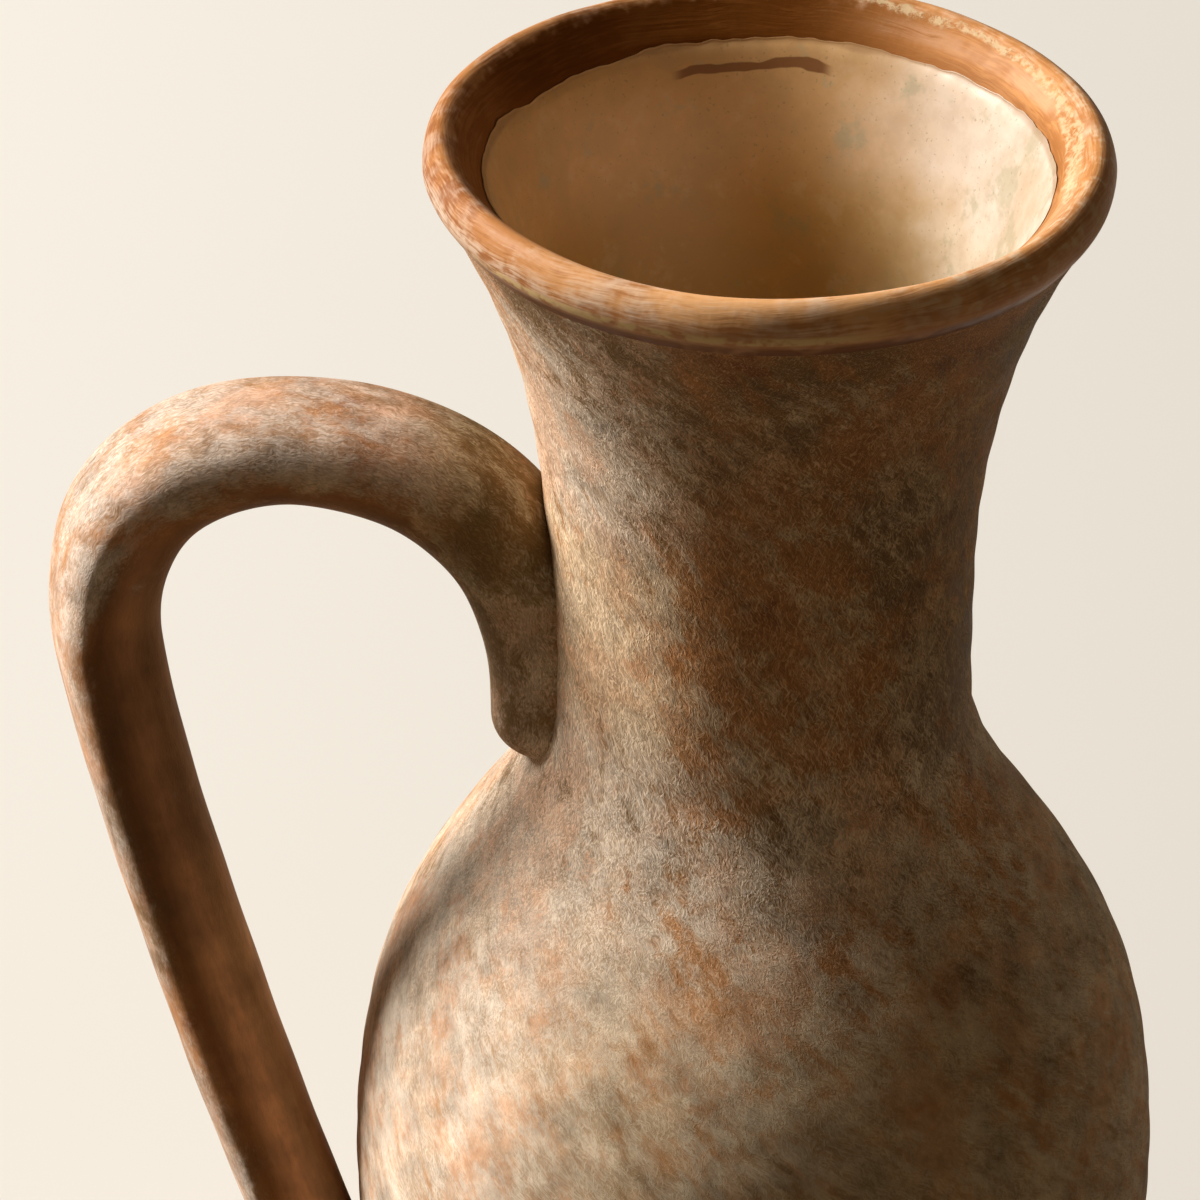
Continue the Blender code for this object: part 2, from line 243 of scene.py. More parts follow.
def neck_radius(height):
    """Outer radius of the neck between the crease and the rim's seat."""
    if height >= WAIST_HEIGHT:
        share = (height - WAIST_HEIGHT) / (RIM_SEAT_HEIGHT - WAIST_HEIGHT)
        flare = RIM_RADIUS - LIP_OVERHANG - WAIST_RADIUS
        return WAIST_RADIUS + flare * share ** FLARE_EXPONENT
    share = (WAIST_HEIGHT - height) / (WAIST_HEIGHT - CREASE_HEIGHT)
    return WAIST_RADIUS + CREASE_SPREAD * share ** 2


def even_steps(points, step):
    """The same line with points an even distance apart."""
    points = np.array(points, float)
    lengths = np.concatenate([[0.0], np.cumsum(np.linalg.norm(np.diff(points, axis=0), axis=1))])
    count = max(int(round(lengths[-1] / step)), 2)
    marks = np.linspace(0.0, lengths[-1], count + 1)
    return np.stack([np.interp(marks, lengths, points[:, axis]) for axis in (0, 1)], 1)


def softened(points, reach):
    """Round a line's corners by averaging it over a length, with its ends held."""
    step = np.linalg.norm(points[1] - points[0])
    half = max(int(round(reach / step / 2)), 1)
    padded = np.concatenate([
        2 * points[0] - points[half:0:-1],
        points,
        2 * points[-1] - points[-2:-half - 2:-1],
    ])
    window = np.hanning(2 * half + 3)[1:-1]
    window /= window.sum()
    smooth = [np.convolve(padded[:, axis], window, mode="valid") for axis in (0, 1)]
    return np.stack(smooth, 1)


def clay_outline():
    """Outside of the pot as (radius, height) rows, from the foot to the underside of the lip."""
    foot = (FOOT_RADIUS, FOOT_CHAMFER)
    foot_handle = (
        foot[0] + FOOT_PULL * math.sin(FOOT_ANGLE),
        foot[1] + FOOT_PULL * math.cos(FOOT_ANGLE),
    )
    widest = (BELLY_RADIUS, BELLY_HEIGHT)
    crease = (neck_radius(CREASE_HEIGHT), CREASE_HEIGHT)
    crease_handle = (
        crease[0] + SHOULDER_PULL * math.sin(SHOULDER_ANGLE),
        crease[1] - SHOULDER_PULL * math.cos(SHOULDER_ANGLE),
    )
    shares = np.linspace(0.0, 1.0, CURVE_POINTS)
    lower_handle = (BELLY_RADIUS, BELLY_HEIGHT - BELLY_LOWER_PULL)
    upper_handle = (BELLY_RADIUS, BELLY_HEIGHT + BELLY_UPPER_PULL)
    points = [bezier(foot, foot_handle, lower_handle, widest, t) for t in shares]
    points += [bezier(widest, upper_handle, crease_handle, crease, t) for t in shares[1:]]
    for height in np.linspace(CREASE_HEIGHT, JUG_HEIGHT - LIP_BASE_DROP, CURVE_POINTS)[1:]:
        points.append((neck_radius(height), height))
    return softened(even_steps(points, FINE_STEP), CREASE_SOFTNESS)


OUTLINE = clay_outline()


def outer_radius(height):
    """Outer radius of the clay at a height."""
    return float(np.interp(height, OUTLINE[:, 1], OUTLINE[:, 0]))


def outer_slope(height):
    """How fast the outer radius grows with height."""
    return (outer_radius(height + SLOPE_STEP) - outer_radius(height - SLOPE_STEP)) / (2 * SLOPE_STEP)


def clay_inside():
    """Inside of the clay as (radius, height) rows, one wall in, to the start of the lip's band."""
    points = []
    for height in np.arange(INSIDE_START, JUG_HEIGHT - PLAIN_INSIDE_DROP, ROW_STEP):
        points.append((outer_radius(height) - WALL * math.hypot(1, outer_slope(height)), height))
    points += [(radius, JUG_HEIGHT - drop) for radius, drop in INSIDE_LIP_DROPS + LIP_SECTION[:1]]
    return softened(even_steps(points, FINE_STEP), INSIDE_SOFTNESS)


INSIDE = clay_inside()


def inner_radius(height):
    """Inner radius of the clay at a height."""
    return float(np.interp(height, INSIDE[:, 1], INSIDE[:, 0]))


def clamped(value):
    """A value held between 0 and 1."""
    return min(max(value, 0.0), 1.0)


def waved(angle, waves):
    """Sum of waves round the jug, each as (times round, depth, phase)."""
    return sum(depth * math.sin(times * angle + phase) for times, depth, phase in waves)


def lean(x, y, z):
    """Where a point goes once the lip leans and tilts."""
    share = clamped((z - LEAN_START) / (LEAN_END - LEAN_START))
    share = share * share * (3 - 2 * share)
    lift = LIP_TILT[0] * x + LIP_TILT[1] * y
    return x + LIP_LEAN[0] * share, y + LIP_LEAN[1] * share, z + lift * share


def noise_place(angle, height, radius=NOISE_RADIUS):
    """Where the noise of the thrown surface is read, so that it closes round the jug."""
    return Vector((math.cos(angle) * radius, math.sin(angle) * radius, height))


def throwing(angle, height):
    """Radial wander of the hand-thrown surface at an angle and a height."""
    sway = SWAY * math.cos(angle + SWAY_PHASE + SWAY_TWIST * height)
    sway *= math.sin(SWAY_RATE * height + SWAY_START)
    oval = SWAY * OVAL_SHARE * math.cos(2 * angle + OVAL_PHASE + OVAL_TWIST * height)
    rings = RING_DEPTH * math.cos(2 * math.pi * height / RING_PITCH + angle)
    dents = DENT_DEPTH * noise.noise(noise_place(angle, height) / DENT_SIZE)
    return sway + oval + rings + dents


def placed(name, data):
    """A new object in the scene."""
    item = bpy.data.objects.new(name, data)
    bpy.context.scene.collection.objects.link(item)
    return item


def mesh_object(name, vertices, faces):
    """One smooth-shaded mesh."""
    mesh = bpy.data.meshes.new(name)
    mesh.from_pydata([tuple(v) for v in vertices], [], faces)
    mesh.update()
    mesh.shade_smooth()
    mesh.set_sharp_from_angle(angle=SHARP_ANGLE)
    return placed(name, mesh)


def turned_rows(line, wander):
    """Vertices of a line turned round the axis, with its wander as (outward, up) at each of them."""
    vertices = []
    for side in range(COLUMNS):
        angle = 2 * math.pi * side / COLUMNS
        for radius, height in line:
            offset, lift = wander(angle, radius, height)
            reach = radius + offset
            vertices.append(lean(reach * math.cos(angle), reach * math.sin(angle), height + lift))
    return vertices


def turned_ring(name, line, wander):
    """A ring turned from a closed line that runs up inside and down outside."""
    count = len(line)
    faces = []
    for side in range(COLUMNS):
        here = side * count
        there = (side + 1) % COLUMNS * count
        for k in range(count):
            after = (k + 1) % count
            faces.append((here + k, here + after, there + after, there + k))
    return mesh_object(name, turned_rows(line, wander), faces)


def turned_disc(name, line, wander):
    """A solid turned from a line that starts and ends on the axis, running outside first."""
    body = line[1:-1]
    count = len(body)
    vertices = [(0.0, 0.0, line[0][1]), (0.0, 0.0, line[-1][1])] + turned_rows(body, wander)
    faces = []
    for side in range(COLUMNS):
        here = 2 + side * count
        there = 2 + (side + 1) % COLUMNS * count
        faces.append((0, there, here))
        for k in range(count - 1):
            faces.append((here + k, there + k, there + k + 1, here + k + 1))
        faces.append((1, here + count - 1, there + count - 1))
    return mesh_object(name, vertices, faces)


def outer_stretch(low, high):
    """Outside rows between two heights, ends included."""
    between = [tuple(p) for p in OUTLINE if low < p[1] < high]
    points = [(outer_radius(low), low)] + between + [(outer_radius(high), high)]
    return [tuple(p) for p in even_steps(points, ROW_STEP)]


def inner_stretch(low, high):
    """Inside rows between two heights, ends included."""
    count = max(int((high - low) / INNER_ROW_STEP), 2)
    heights = np.linspace(low, high, count + 1)
    return [(inner_radius(height), height) for height in heights]


def no_wander(angle, radius, height):
    """A true turned form."""
    return 0.0, 0.0


def clay_wander(angle, radius, height):
    """The thrown surface's wander, on the outside only."""
    if radius < outer_radius(height) - OUTSIDE_SHARE * WALL:
        return 0.0, 0.0
    return throwing(angle, height), 0.0


# Where one visible clay piece hands over to the next, clear of the rounded creases
NECK_START = CREASE_HEIGHT + NECK_HANDOVER
RIM_START = JUG_HEIGHT - LIP_BASE_DROP


def make_wall(name, low, high):
    """The thrown wall between two heights."""
    line = inner_stretch(low, high) + outer_stretch(low, high)[::-1]
    return turned_ring(name, line, clay_wander)


def rim_line():
    """Section of the rolled lip, up the inside and down the outside to where the neck starts."""
    points = [(inner_radius(RIM_START), RIM_START)]
    points += [(radius, JUG_HEIGHT - drop) for radius, drop in LIP_SECTION]
    points.append((outer_radius(RIM_START), RIM_START))
    line = softened(even_steps(points, LIP_STEP / 2), LIP_SOFTNESS)
    return [tuple(p) for p in even_steps(line, LIP_STEP)]


def rim_wander(angle, radius, height):
    """The lip sways a little more than the wall, and its crest isn't level."""
    if radius < inner_radius(RIM_START) + LIP_STEP:
        return 0.0, 0.0
    share = clamped((height - RIM_START) / LUMP_RISE)
    outer = 1 - clamped((LIP_BAND_REACH - radius) / LIP_BAND_BLEND)
    lumps = LUMP_DEPTH * noise.noise(noise_place(angle, height) / LUMP_SIZE) * share
    lift = waved(angle, CREST_WAVES) * share * share * outer
    return throwing(angle, min(height, RIM_START)) * outer + lumps, lift


def make_rim():
    return turned_ring("jug_rim", rim_line(), rim_wander)


def make_foot():
    """The slab's edge and underside, with a worn chamfer, and its raised middle inside the belly."""
    middle_radius = inner_radius(SLAB_TOP) - SLAB_MIDDLE_GAP
    line = [
        (0.0, SLAB_TOP + SLAB_MIDDLE_RISE),
        (middle_radius, SLAB_TOP + SLAB_MIDDLE_RISE),
        (middle_radius, SLAB_TOP),
        (outer_radius(SLAB_TOP), SLAB_TOP),
        (outer_radius(SLAB_EDGE_HEIGHT), SLAB_EDGE_HEIGHT),
        (FOOT_RADIUS, FOOT_CHAMFER),
        (FOOT_RADIUS - FOOT_WEAR, FOOT_WEAR),
        (FOOT_RADIUS - FOOT_CHAMFER, 0.0),
        (FOOT_RADIUS - FOOT_RIM_WIDTH, 0.0),
        (0.0, 0.0),
    ]
    return turned_disc("jug_foot", line[::-1], no_wander)


def make_glaze():
    """Glaze skin: up the clay side, round its edge, and down the wet side to the floor."""
    top = JUG_HEIGHT - GLAZE_LINE_DROP
    count = int((top - GLAZE_FLOOR) / GLAZE_ROW_STEP)
    clay_side = []
    wet_side = []
    for height in np.linspace(GLAZE_FLOOR + GLAZE_FLOOR_RISE, top - EDGE_RISE, count):
        thinning = clamped((top - height) / GLAZE_THINNING)
        gap = EDGE_GAP + (GLAZE_GAP - EDGE_GAP) * thinning
        thickness = EDGE_THICKNESS + (GLAZE_THICKNESS - EDGE_THICKNESS) * thinning
        clay_side.append((inner_radius(height) - gap, height))
        wet_side.append((inner_radius(height) - gap - thickness, height))
    edge_radius = inner_radius(top) - EDGE_GAP - EDGE_THICKNESS / 2
    edge = []
    for k in range(1, GLAZE_EDGE_STEPS):
        angle = math.pi * k / GLAZE_EDGE_STEPS
        edge.append((
            edge_radius + EDGE_THICKNESS / 2 * math.cos(angle),
            top - EDGE_RISE + EDGE_RISE * math.sin(angle),
        ))
    floor = GLAZE_FLOOR
    wet_floor = GLAZE_FLOOR + GLAZE_THICKNESS
    line = [(0.0, floor), (clay_side[0][0] - GLAZE_CORNER, floor)] + clay_side + edge + wet_side[::-1]
    line += [(wet_side[0][0] - GLAZE_CORNER, wet_floor), (0.0, wet_floor)]
    return turned_disc("jug_glaze", line, glaze_wander)


def glaze_wander(angle, radius, height):
    """The glaze line rises and falls round the mouth, and the wet side has soft runs."""
    share = clamped((height - JUG_HEIGHT + GLAZE_LINE_DROP + GLAZE_WAVE_REACH) / GLAZE_WAVE_REACH)
    lift = waved(angle, GLAZE_WAVES)
    for notch_angle, depth, width in GLAZE_NOTCHES:
        lift -= depth * math.exp(-((angle - notch_angle) / width) ** 2)
    place = noise_place(angle, GLAZE_NOISE_HEIGHT, GLAZE_NOISE_RADIUS)
    lift += sum(depth * noise.noise(place / size) for size, depth in GLAZE_RIPPLES)
    runs = GLAZE_RUN_DEPTH * math.sin(GLAZE_RUNS * angle + GLAZE_RUN_PHASE)
    runs = runs * math.sin(GLAZE_RUN_RATE * height) * (1 - share)
    wet = radius < inner_radius(height) - GLAZE_GAP - GLAZE_THICKNESS * WET_SHARE
    slope = (inner_radius(height) - inner_radius(height - SLOPE_STEP)) / SLOPE_STEP
    return (runs if wet else 0.0) + slope * lift * share * share, lift * share * share


def strap_curves():
    """The leg, the outer arch and the inner arch with its tail, as cubic curves."""
    foot_height = BELLY_HEIGHT - LEG_FOOT_DROP
    foot = (outer_radius(foot_height) + LEG_THICKNESS / 2 - LEG_FOOT_SINK, foot_height)
    tail_height = CREASE_HEIGHT - TAIL_DROP
    tail = (outer_radius(tail_height) - TAIL_SINK, tail_height)
    leg_top = (BELLY_RADIUS + LEG_STANDOFF, CREASE_HEIGHT + LEG_TOP_RISE)
    arch = (WAIST_RADIUS + ARCH_STANDOFF, CREASE_HEIGHT + ARCH_RISE)
    foot_handle = (
        foot[0] + LEG_LOWER_PULL * math.sin(LEG_FOOT_SLOPE),
        foot[1] + LEG_LOWER_PULL * math.cos(LEG_FOOT_SLOPE),
    )
    leg = (foot, foot_handle, (leg_top[0], leg_top[1] - LEG_UPPER_PULL), leg_top)
    rise_handle = (leg_top[0], leg_top[1] + ARCH_OUTER_RISE_PULL)
    outer_arch = (leg_top, rise_handle, (arch[0] + ARCH_OUTER_PULL, arch[1]), arch)
    inner_arch = (arch, (arch[0] - ARCH_INNER_PULL, arch[1]), (tail[0], tail[1] + TAIL_PULL), tail)
    return leg, outer_arch, inner_arch


def strap_stations():
    """Centre (reach, height), thickness, width, squareness and turn along the handle, leg foot first."""
    thicknesses = (LEG_THICKNESS, LEG_THICKNESS, ARCH_THICKNESS, TAIL_THICKNESS)
    widths = (STRAP_WIDTH, STRAP_WIDTH, STRAP_WIDTH, TAIL_WIDTH)
    curves = strap_curves()
    stations = []
    for index, curve in enumerate(curves):
        for k in range(STRAP_STATIONS_PER_CURVE):
            t = k / STRAP_STATIONS_PER_CURVE
            ease = t * t * (3 - 2 * t)
            sizes = [
                values[index] + (values[index + 1] - values[index]) * ease
                for values in (thicknesses, widths, STRAP_SQUARENESS, STRAP_TURNS)
            ]
            centre = bezier(*curve, t)
            if index == 0:
                smear = max(1 - t / LEG_SMEAR_SHARE, 0.0) ** LEG_SMEAR_FALL
                centre = (centre[0] - LEG_SMEAR * smear / 2, centre[1])
                sizes[0] -= LEG_SMEAR * smear
                sizes[2] -= LEG_SMEAR_ROUNDING * smear
            stations.append((centre, *sizes))
    last = [values[-1] for values in (thicknesses, widths, STRAP_SQUARENESS, STRAP_TURNS)]
    stations.append((curves[-1][-1], *last))
    return stations


def rounded_tips(stations):
    """Add shrinking stations at both ends, so that the strap ends in round tips."""
    result = list(stations)
    for end, rounding in ((0, LEG_FOOT_ROUNDING), (-1, TAIL_ROUNDING)):
        centre, thick, width, square, turn = stations[end]
        beside = stations[1 if end == 0 else -2][0]
        length = math.dist(centre, beside)
        direction = [(centre[axis] - beside[axis]) / length for axis in (0, 1)]
        tip = []
        for k in range(1, TIP_STATIONS + 1):
            angle = math.pi / 2 * k / (TIP_STATIONS + TIP_OPENING)
            along = rounding * math.sin(angle)
            shrink = math.cos(angle)
            point = (centre[0] + direction[0] * along, centre[1] + direction[1] * along)
            tip.append((point, thick * shrink, width * shrink, square, turn))
        result = tip[::-1] + result if end == 0 else result + tip
    return result


def make_handle():
    stations = rounded_tips(strap_stations())
    vertices = []
    strap = []
    travelled = 0.0
    for k, (centre, thick, width, square, turn) in enumerate(stations):
        before = stations[max(k - 1, 0)][0]
        after = stations[min(k + 1, len(stations) - 1)][0]
        length = math.dist(before, after)
        direction = [(after[axis] - before[axis]) / length for axis in (0, 1)]
        travelled += length / 2
        for side in range(STRAP_SIDES):
            angle = 2 * math.pi * side / STRAP_SIDES
            cosine = math.copysign(abs(math.cos(angle)) ** (2 / square), math.cos(angle))
            sine = math.copysign(abs(math.sin(angle)) ** (2 / square), math.sin(angle))
            across = thick / 2 * cosine
            aside = width / 2 * sine
            strap.append((across, aside, travelled))
            twist = math.radians(turn)
            across, aside = (
                across * math.cos(twist) - aside * math.sin(twist),
                across * math.sin(twist) + aside * math.cos(twist),
            )
            reach = centre[0] + direction[1] * across
            height = centre[1] - direction[0] * across
            lumps = noise.noise(Vector((reach, aside, height)) / SWELL_SIZE)
            swell = 1.0 + SWELL_SHARE * lumps + SWELL_RIPPLE * math.sin(travelled * SWELL_RIPPLE_RATE)
            reach = centre[0] + direction[1] * across * swell
            height = centre[1] - direction[0] * across * swell
            aside = min(max(aside * min(swell, 1.0), -STRAP_WIDTH / 2), STRAP_WIDTH / 2)
            # The strap's ends stop inside the wall
            deepest = outer_radius(height) - STRAP_DEPTH_IN_WALL
            if math.hypot(reach, aside) < deepest:
                reach = math.sqrt(deepest ** 2 - aside ** 2)
            vertices.append((-reach, aside, height))
    faces = []
    for k in range(len(stations) - 1):
        for side in range(STRAP_SIDES):
            following = (side + 1) % STRAP_SIDES
            here = k * STRAP_SIDES
            there = here + STRAP_SIDES
            faces.append((here + side, there + side, there + following, here + following))
    faces.append(tuple(range(STRAP_SIDES)))
    last = (len(stations) - 1) * STRAP_SIDES
    faces.append(tuple(last + side for side in reversed(range(STRAP_SIDES))))
    piece = mesh_object("jug_handle", vertices, faces)
    attribute = piece.data.attributes.new("strap", "FLOAT_VECTOR", "POINT")
    attribute.data.foreach_set("vector", np.array(strap, np.float32).ravel())
    return piece


class Tree:
    """Builds the nodes of a material or a world."""

    def __init__(self, owner):
        owner.use_nodes = True
        self.tree = owner.node_tree

    def feed(self, socket, value):
        """Link a socket to another, or set it to a number or a colour."""
        if isinstance(value, bpy.types.NodeSocket):
            self.tree.links.new(value, socket)
        elif isinstance(value, tuple) and len(value) == 3 and socket.type == "RGBA":
            socket.default_value = (*value, 1.0)
        else:
            socket.default_value = value

    def node(self, kind, values, **settings):
        """A new node with its settings, and with its inputs' values by name or place."""
        node = self.tree.nodes.new("ShaderNode" + kind)
        for name, value in settings.items():
            setattr(node, name, value)
        for name, value in values.items():
            self.feed(node.inputs[name], value)
        return node


class Nodes(Tree):
    """Builds a material's nodes with short calls."""

    def __init__(self, name):
        self.material = bpy.data.materials.new(name)
        super().__init__(self.material)
        self.shader = self.tree.nodes["Principled BSDF"]
        self.place = self.node("TexCoord", {}).outputs["Object"]

    def math(self, operation, *values):
        return self.node("Math", dict(enumerate(values)), operation=operation).outputs[0]

    def times(self, first, second):
        return self.math("MULTIPLY", first, second)

    def plus(self, first, second):
        return self.math("ADD", first, second)

    def minus(self, first, second):
        return self.math("SUBTRACT", first, second)

    def scaled(self, value, factor, offset):
        return self.math("MULTIPLY_ADD", value, factor, offset)

    def vector(self, operation, first, second):
        place = "Scale" if operation == "SCALE" else 1
        return self.node("VectorMath", {0: first, place: second}, operation=operation).outputs[0]

    def parts(self, vector):
        """The X, Y and Z outputs of a vector."""
        return self.node("SeparateXYZ", {0: vector}).outputs

    def height(self):
        return self.parts(self.place)["Z"]

    def from_axis(self):
        """Distance from the jug's axis."""
        flat = self.vector("MULTIPLY", self.place, (1.0, 1.0, 0.0))
        return self.node("VectorMath", {0: flat}, operation="LENGTH").outputs["Value"]

    def bearing(self):
        """Angle round the jug's axis from +X, in radians."""
        parts = self.parts(self.place)
        return self.math("ARCTAN2", parts["Y"], parts["X"])

    def turn(self, vector, angle):
        """A vector turned about Z."""
        values = {"Vector": vector, "Axis": (0.0, 0.0, 1.0), "Angle": angle}
        return self.node("VectorRotate", values, rotation_type="AXIS_ANGLE").outputs[0]

    def noise(self, vector, scale, detail=2.0, roughness=0.5, colour=False):
        values = {"Vector": vector, "Scale": scale, "Detail": detail, "Roughness": roughness}
        return self.node("TexNoise", values).outputs["Color" if colour else "Fac"]

    def noise_from(self, start, scale, detail, roughness):
        """Noise read from another place, so that it differs from the rest."""
        return self.noise(self.vector("ADD", self.place, start), scale, detail, roughness)

    def drawn_noise(self, vector, squash, scale, detail, roughness):
        """Noise drawn out along Z."""
        return self.noise(self.vector("MULTIPLY", vector, (1.0, 1.0, squash)), scale, detail, roughness)

    def curl(self, vector, scale, detail, roughness, reach):
        """A vector pushed about by noise."""
        warp = self.noise(self.place, scale, detail, roughness, colour=True)
        warp = self.vector("SUBTRACT", warp, (0.5, 0.5, 0.5))
        return self.vector("ADD", vector, self.vector("SCALE", warp, reach))

    def step(self, value, low, high):
        """Smooth step from 0 at low to 1 at high."""
        values = {"Value": value, "From Min": low, "From Max": high}
        return self.node("MapRange", values, interpolation_type="SMOOTHSTEP").outputs[0]

    def dropped(self, height, start, end):
        """Smooth step from 0 at one drop below the jug's top to 1 at another."""
        return self.step(height, JUG_HEIGHT - start, JUG_HEIGHT - end)

    def near(self, value, middle, half_width, softness):
        """1 where a value lies within half a width of the middle, soft at the ends."""
        away = self.math("ABSOLUTE", self.minus(value, middle))
        return self.step(away, half_width + softness, half_width)

    def weigh(self, *parts):
        """Sum of noises about their middle, each times its weight."""
        total = None
        for value, weight in parts:
            part = self.scaled(value, weight, -0.5 * weight)
            total = part if total is None else self.plus(total, part)
        return total

    def mix(self, share, first, second, blend="MIX"):
        values = {0: share, 6: first, 7: second}
        return self.node("Mix", values, data_type="RGBA", blend_type=blend).outputs[2]

    def tint(self, share, colour, by):
        """A colour multiplied by another where share is 1."""
        return self.mix(share, colour, by, "MULTIPLY")

    def bump(self, height, distance, strength):
        values = {"Strength": strength, "Distance": distance, "Height": height}
        return self.node("Bump", values).outputs[0]

    def shade(self, values):
        """Feed the shader by the names of its inputs, and give the material back."""
        for name, value in values.items():
            self.feed(self.shader.inputs[name], value)
        return self.material


# Fired clay and slip colours, as linear values
CLAY_ORANGE = (0.70, 0.340, 0.145)
CLAY_OLIVE = (0.350, 0.205, 0.092)
CLAY_RED = (0.42, 0.170, 0.065)
CLAY_DARK = (0.120, 0.062, 0.025)
SLIP_PALE = (0.95, 0.775, 0.615)
SLIP_PEACH = (0.90, 0.555, 0.36)
SLIP_GREY = (0.72, 0.54, 0.38)
HAIR_PALE = (0.98, 0.86, 0.72)
RUST = (0.66, 0.285, 0.120)
STRAP_CORE_SHADE = (0.17, 0.058, 0.010)
STRAP_RED = (0.54, 0.265, 0.120)
STRAP_EDGE_SHADE = (0.17, 0.110, 0.045)
JOINT_SHADE_OLIVE = (0.265, 0.175, 0.076)
LIP_ORANGE = (0.95, 0.50, 0.215)
LIP_BROWN = (0.60, 0.255, 0.088)
LIP_BURNT_SHADOW = (0.20, 0.068, 0.016)
BAND_BROWN = (0.27, 0.095, 0.018)
BAND_LIT_ORANGE = (0.84, 0.40, 0.150)
FLAKE_CREAM = (0.84, 0.68, 0.42)
OCHRE = (0.94, 0.68, 0.320)
GLAZE_IVORY = (0.79, 0.665, 0.545)
GLAZE_SHADE_TAN = (0.725, 0.430, 0.180)
GLAZE_MOTTLE = (0.56, 0.37, 0.19)
GLAZE_GREEN = (0.48, 0.43, 0.28)
GLAZE_CLOUD = (0.44, 0.27, 0.14)
GLAZE_LIGHT = (0.92, 0.80, 0.66)
GLAZE_SPECK = (0.30, 0.22, 0.12)
GLAZE_EDGE = (0.36, 0.18, 0.07)
STREAK_BROWN = (0.22, 0.075, 0.020)

# Tints that multiply the colour in a region
SHADE_SIDE_TINT = (0.72, 0.66, 0.54)
YELLOWED_TINT = (0.96, 0.90, 0.78)
BELLY_SHADE_TINT = (0.76, 0.73, 0.64)
BACK_LEFT_SHADE_TINT = (0.74, 0.75, 0.76)
LOW_LEG_LIGHT_TINT = (1.65, 1.75, 1.85)
UPPER_JOINT_SHADE_TINT = (0.56, 0.60, 0.52)
UNDER_ARCH_SHADE_TINT = (0.78, 0.68, 0.50)
STRAP_TINT = (0.86, 0.84, 0.87)
BACK_BAND_SHADE_TINT = (0.52, 0.46, 0.34)
LEFT_ROLL_SHADE_TINT = (0.58, 0.47, 0.37)
RIGHT_ROLL_SHADE_TINT = (0.93, 0.88, 0.77)
GLAZE_DEEP_SHADE_TINT = (0.70, 0.63, 0.38)

# Brush strokes crossing one another: twist in radians a metre, how drawn out, and noise scale
BRUSH_PASSES = ((13.0, 0.09, 2300.0), (3.0, 0.14, 2500.0), (25.0, 0.15, 2000.0))
SCRATCHES = ((11.0, 0.060, 3900.0), (-7.0, 0.085, 3500.0))

# Regions of the pot: bearings as (middle, half width, softness) and heights as (from none, to full)
LOW_BELLY_HEIGHT = (0.185, 0.120)
SHADE_SIDE_BEARING = (-0.75, 0.85, 0.50)
SHADE_SIDE_HEIGHT = (0.178, 0.208)
UNDER_LIP_SHADE_DROP = (0.026, 0.013)
LIT_SIDE_BEARING = (-2.60, 0.30, 0.45)
LIT_SIDE_HEIGHT = (0.272, 0.250)
YELLOWED_LEVEL = (0.212, 0.014, 0.014)
YELLOWED_BEARING = (-2.5, 0.5, 0.4)
BELLY_SHADE_BEARING = (-1.38, 0.50, 0.60)
BELLY_SHADE_HEIGHT = (0.170, 0.140)
BACK_LEFT_SHADE_BEARING = (2.10, 0.50, 0.50)

# Regions of the handle, across the strap (+ is its outer face), aside (- is its front) and in height
JOINT_REACH = (0.068, 0.050)
UPPER_JOINT_SHADE_HEIGHT = (0.200, 0.222)
LEG_HEIGHT = (0.228, 0.192)
LOW_LEG_LIGHT_HEIGHT = (0.160, 0.120)
FRONT_ASIDE = (0.0060, -0.0020)
INNER_ACROSS = (0.0010, -0.0045)
CORE_SHADE_ACROSS = (0.0050, -0.0025)
FAR_EDGE_SHADE_ACROSS = (-0.0015, -0.0060)
UNDER_ARCH_SHADE_ACROSS = (0.0030, -0.0030)
UNDER_ARCH_SHADE_HEIGHT = (0.205, 0.228)

# Regions of the lip: bearings, reach from the axis, and drop below the top of the jug
ROLL_REACH = (0.0535, 0.0565)
OUTSIDE_REACH = (0.0570, 0.0585)
OUTSIDE_DROP = (0.0030, 0.0058)
SHADED_DROP = (0.0052, 0.0084)
LIT_FRONT_BEARING = (-1.57, 0.55, 0.50)
LIT_FRONT_DROP = (0.0056, 0.0036)
DULL_BEARING = (0.3, 0.8, 0.9)
LEFT_BEARING = (1.75, 2.5)
RIGHT_SHADE_BEARING = (-0.25, 0.55, 0.50)
CHALKY_BEARING = (-0.35, 0.55, 0.40)
LIT_BAND_BACK = (1.46, 0.70)
LIT_BAND_FRONT = (-1.4, -0.8)
BACK_BAND_SHADE_BEARING = (1.98, 0.50, 0.50)
BAND_SHEEN_LEVEL = (JUG_HEIGHT - 0.0050, 0.0006, 0.0012)
NEAR_GLAZE_DROP = (0.0062, 0.0080)
BURNT_SHADOW_BEARING = (-1.60, 0.70, 0.5)
BURNT_SHADOW_DROP = (0.0086, 0.0104)
OCHRE_BEARING = (-1.90, 0.45, 0.30)
OCHRE_LEVEL = (JUG_HEIGHT - 0.0079, 0.0005, 0.0007)
FLAKE_REACH = 0.0543
FLAKE_BEARING = (0.45, 0.75, 0.15)
WIDE_FLAKE_BEARING = (0.02, 0.16, 0.25)

# Regions of the glaze
GLAZE_SHADE_SPREAD = (0.9, 2.0)
GLAZE_GREEN_BEARING = (-0.1, 0.5, 0.4)
GLAZE_DEEP_SHADE_DROP = (0.022, 0.038)
STREAK_BEARING = (1.64, 0.27, 0.06)
STREAK_LEVEL = (JUG_HEIGHT - 0.0128, 0.0007, 0.0003)
THIN_GLAZE_DROP = (0.0094, 0.0086)


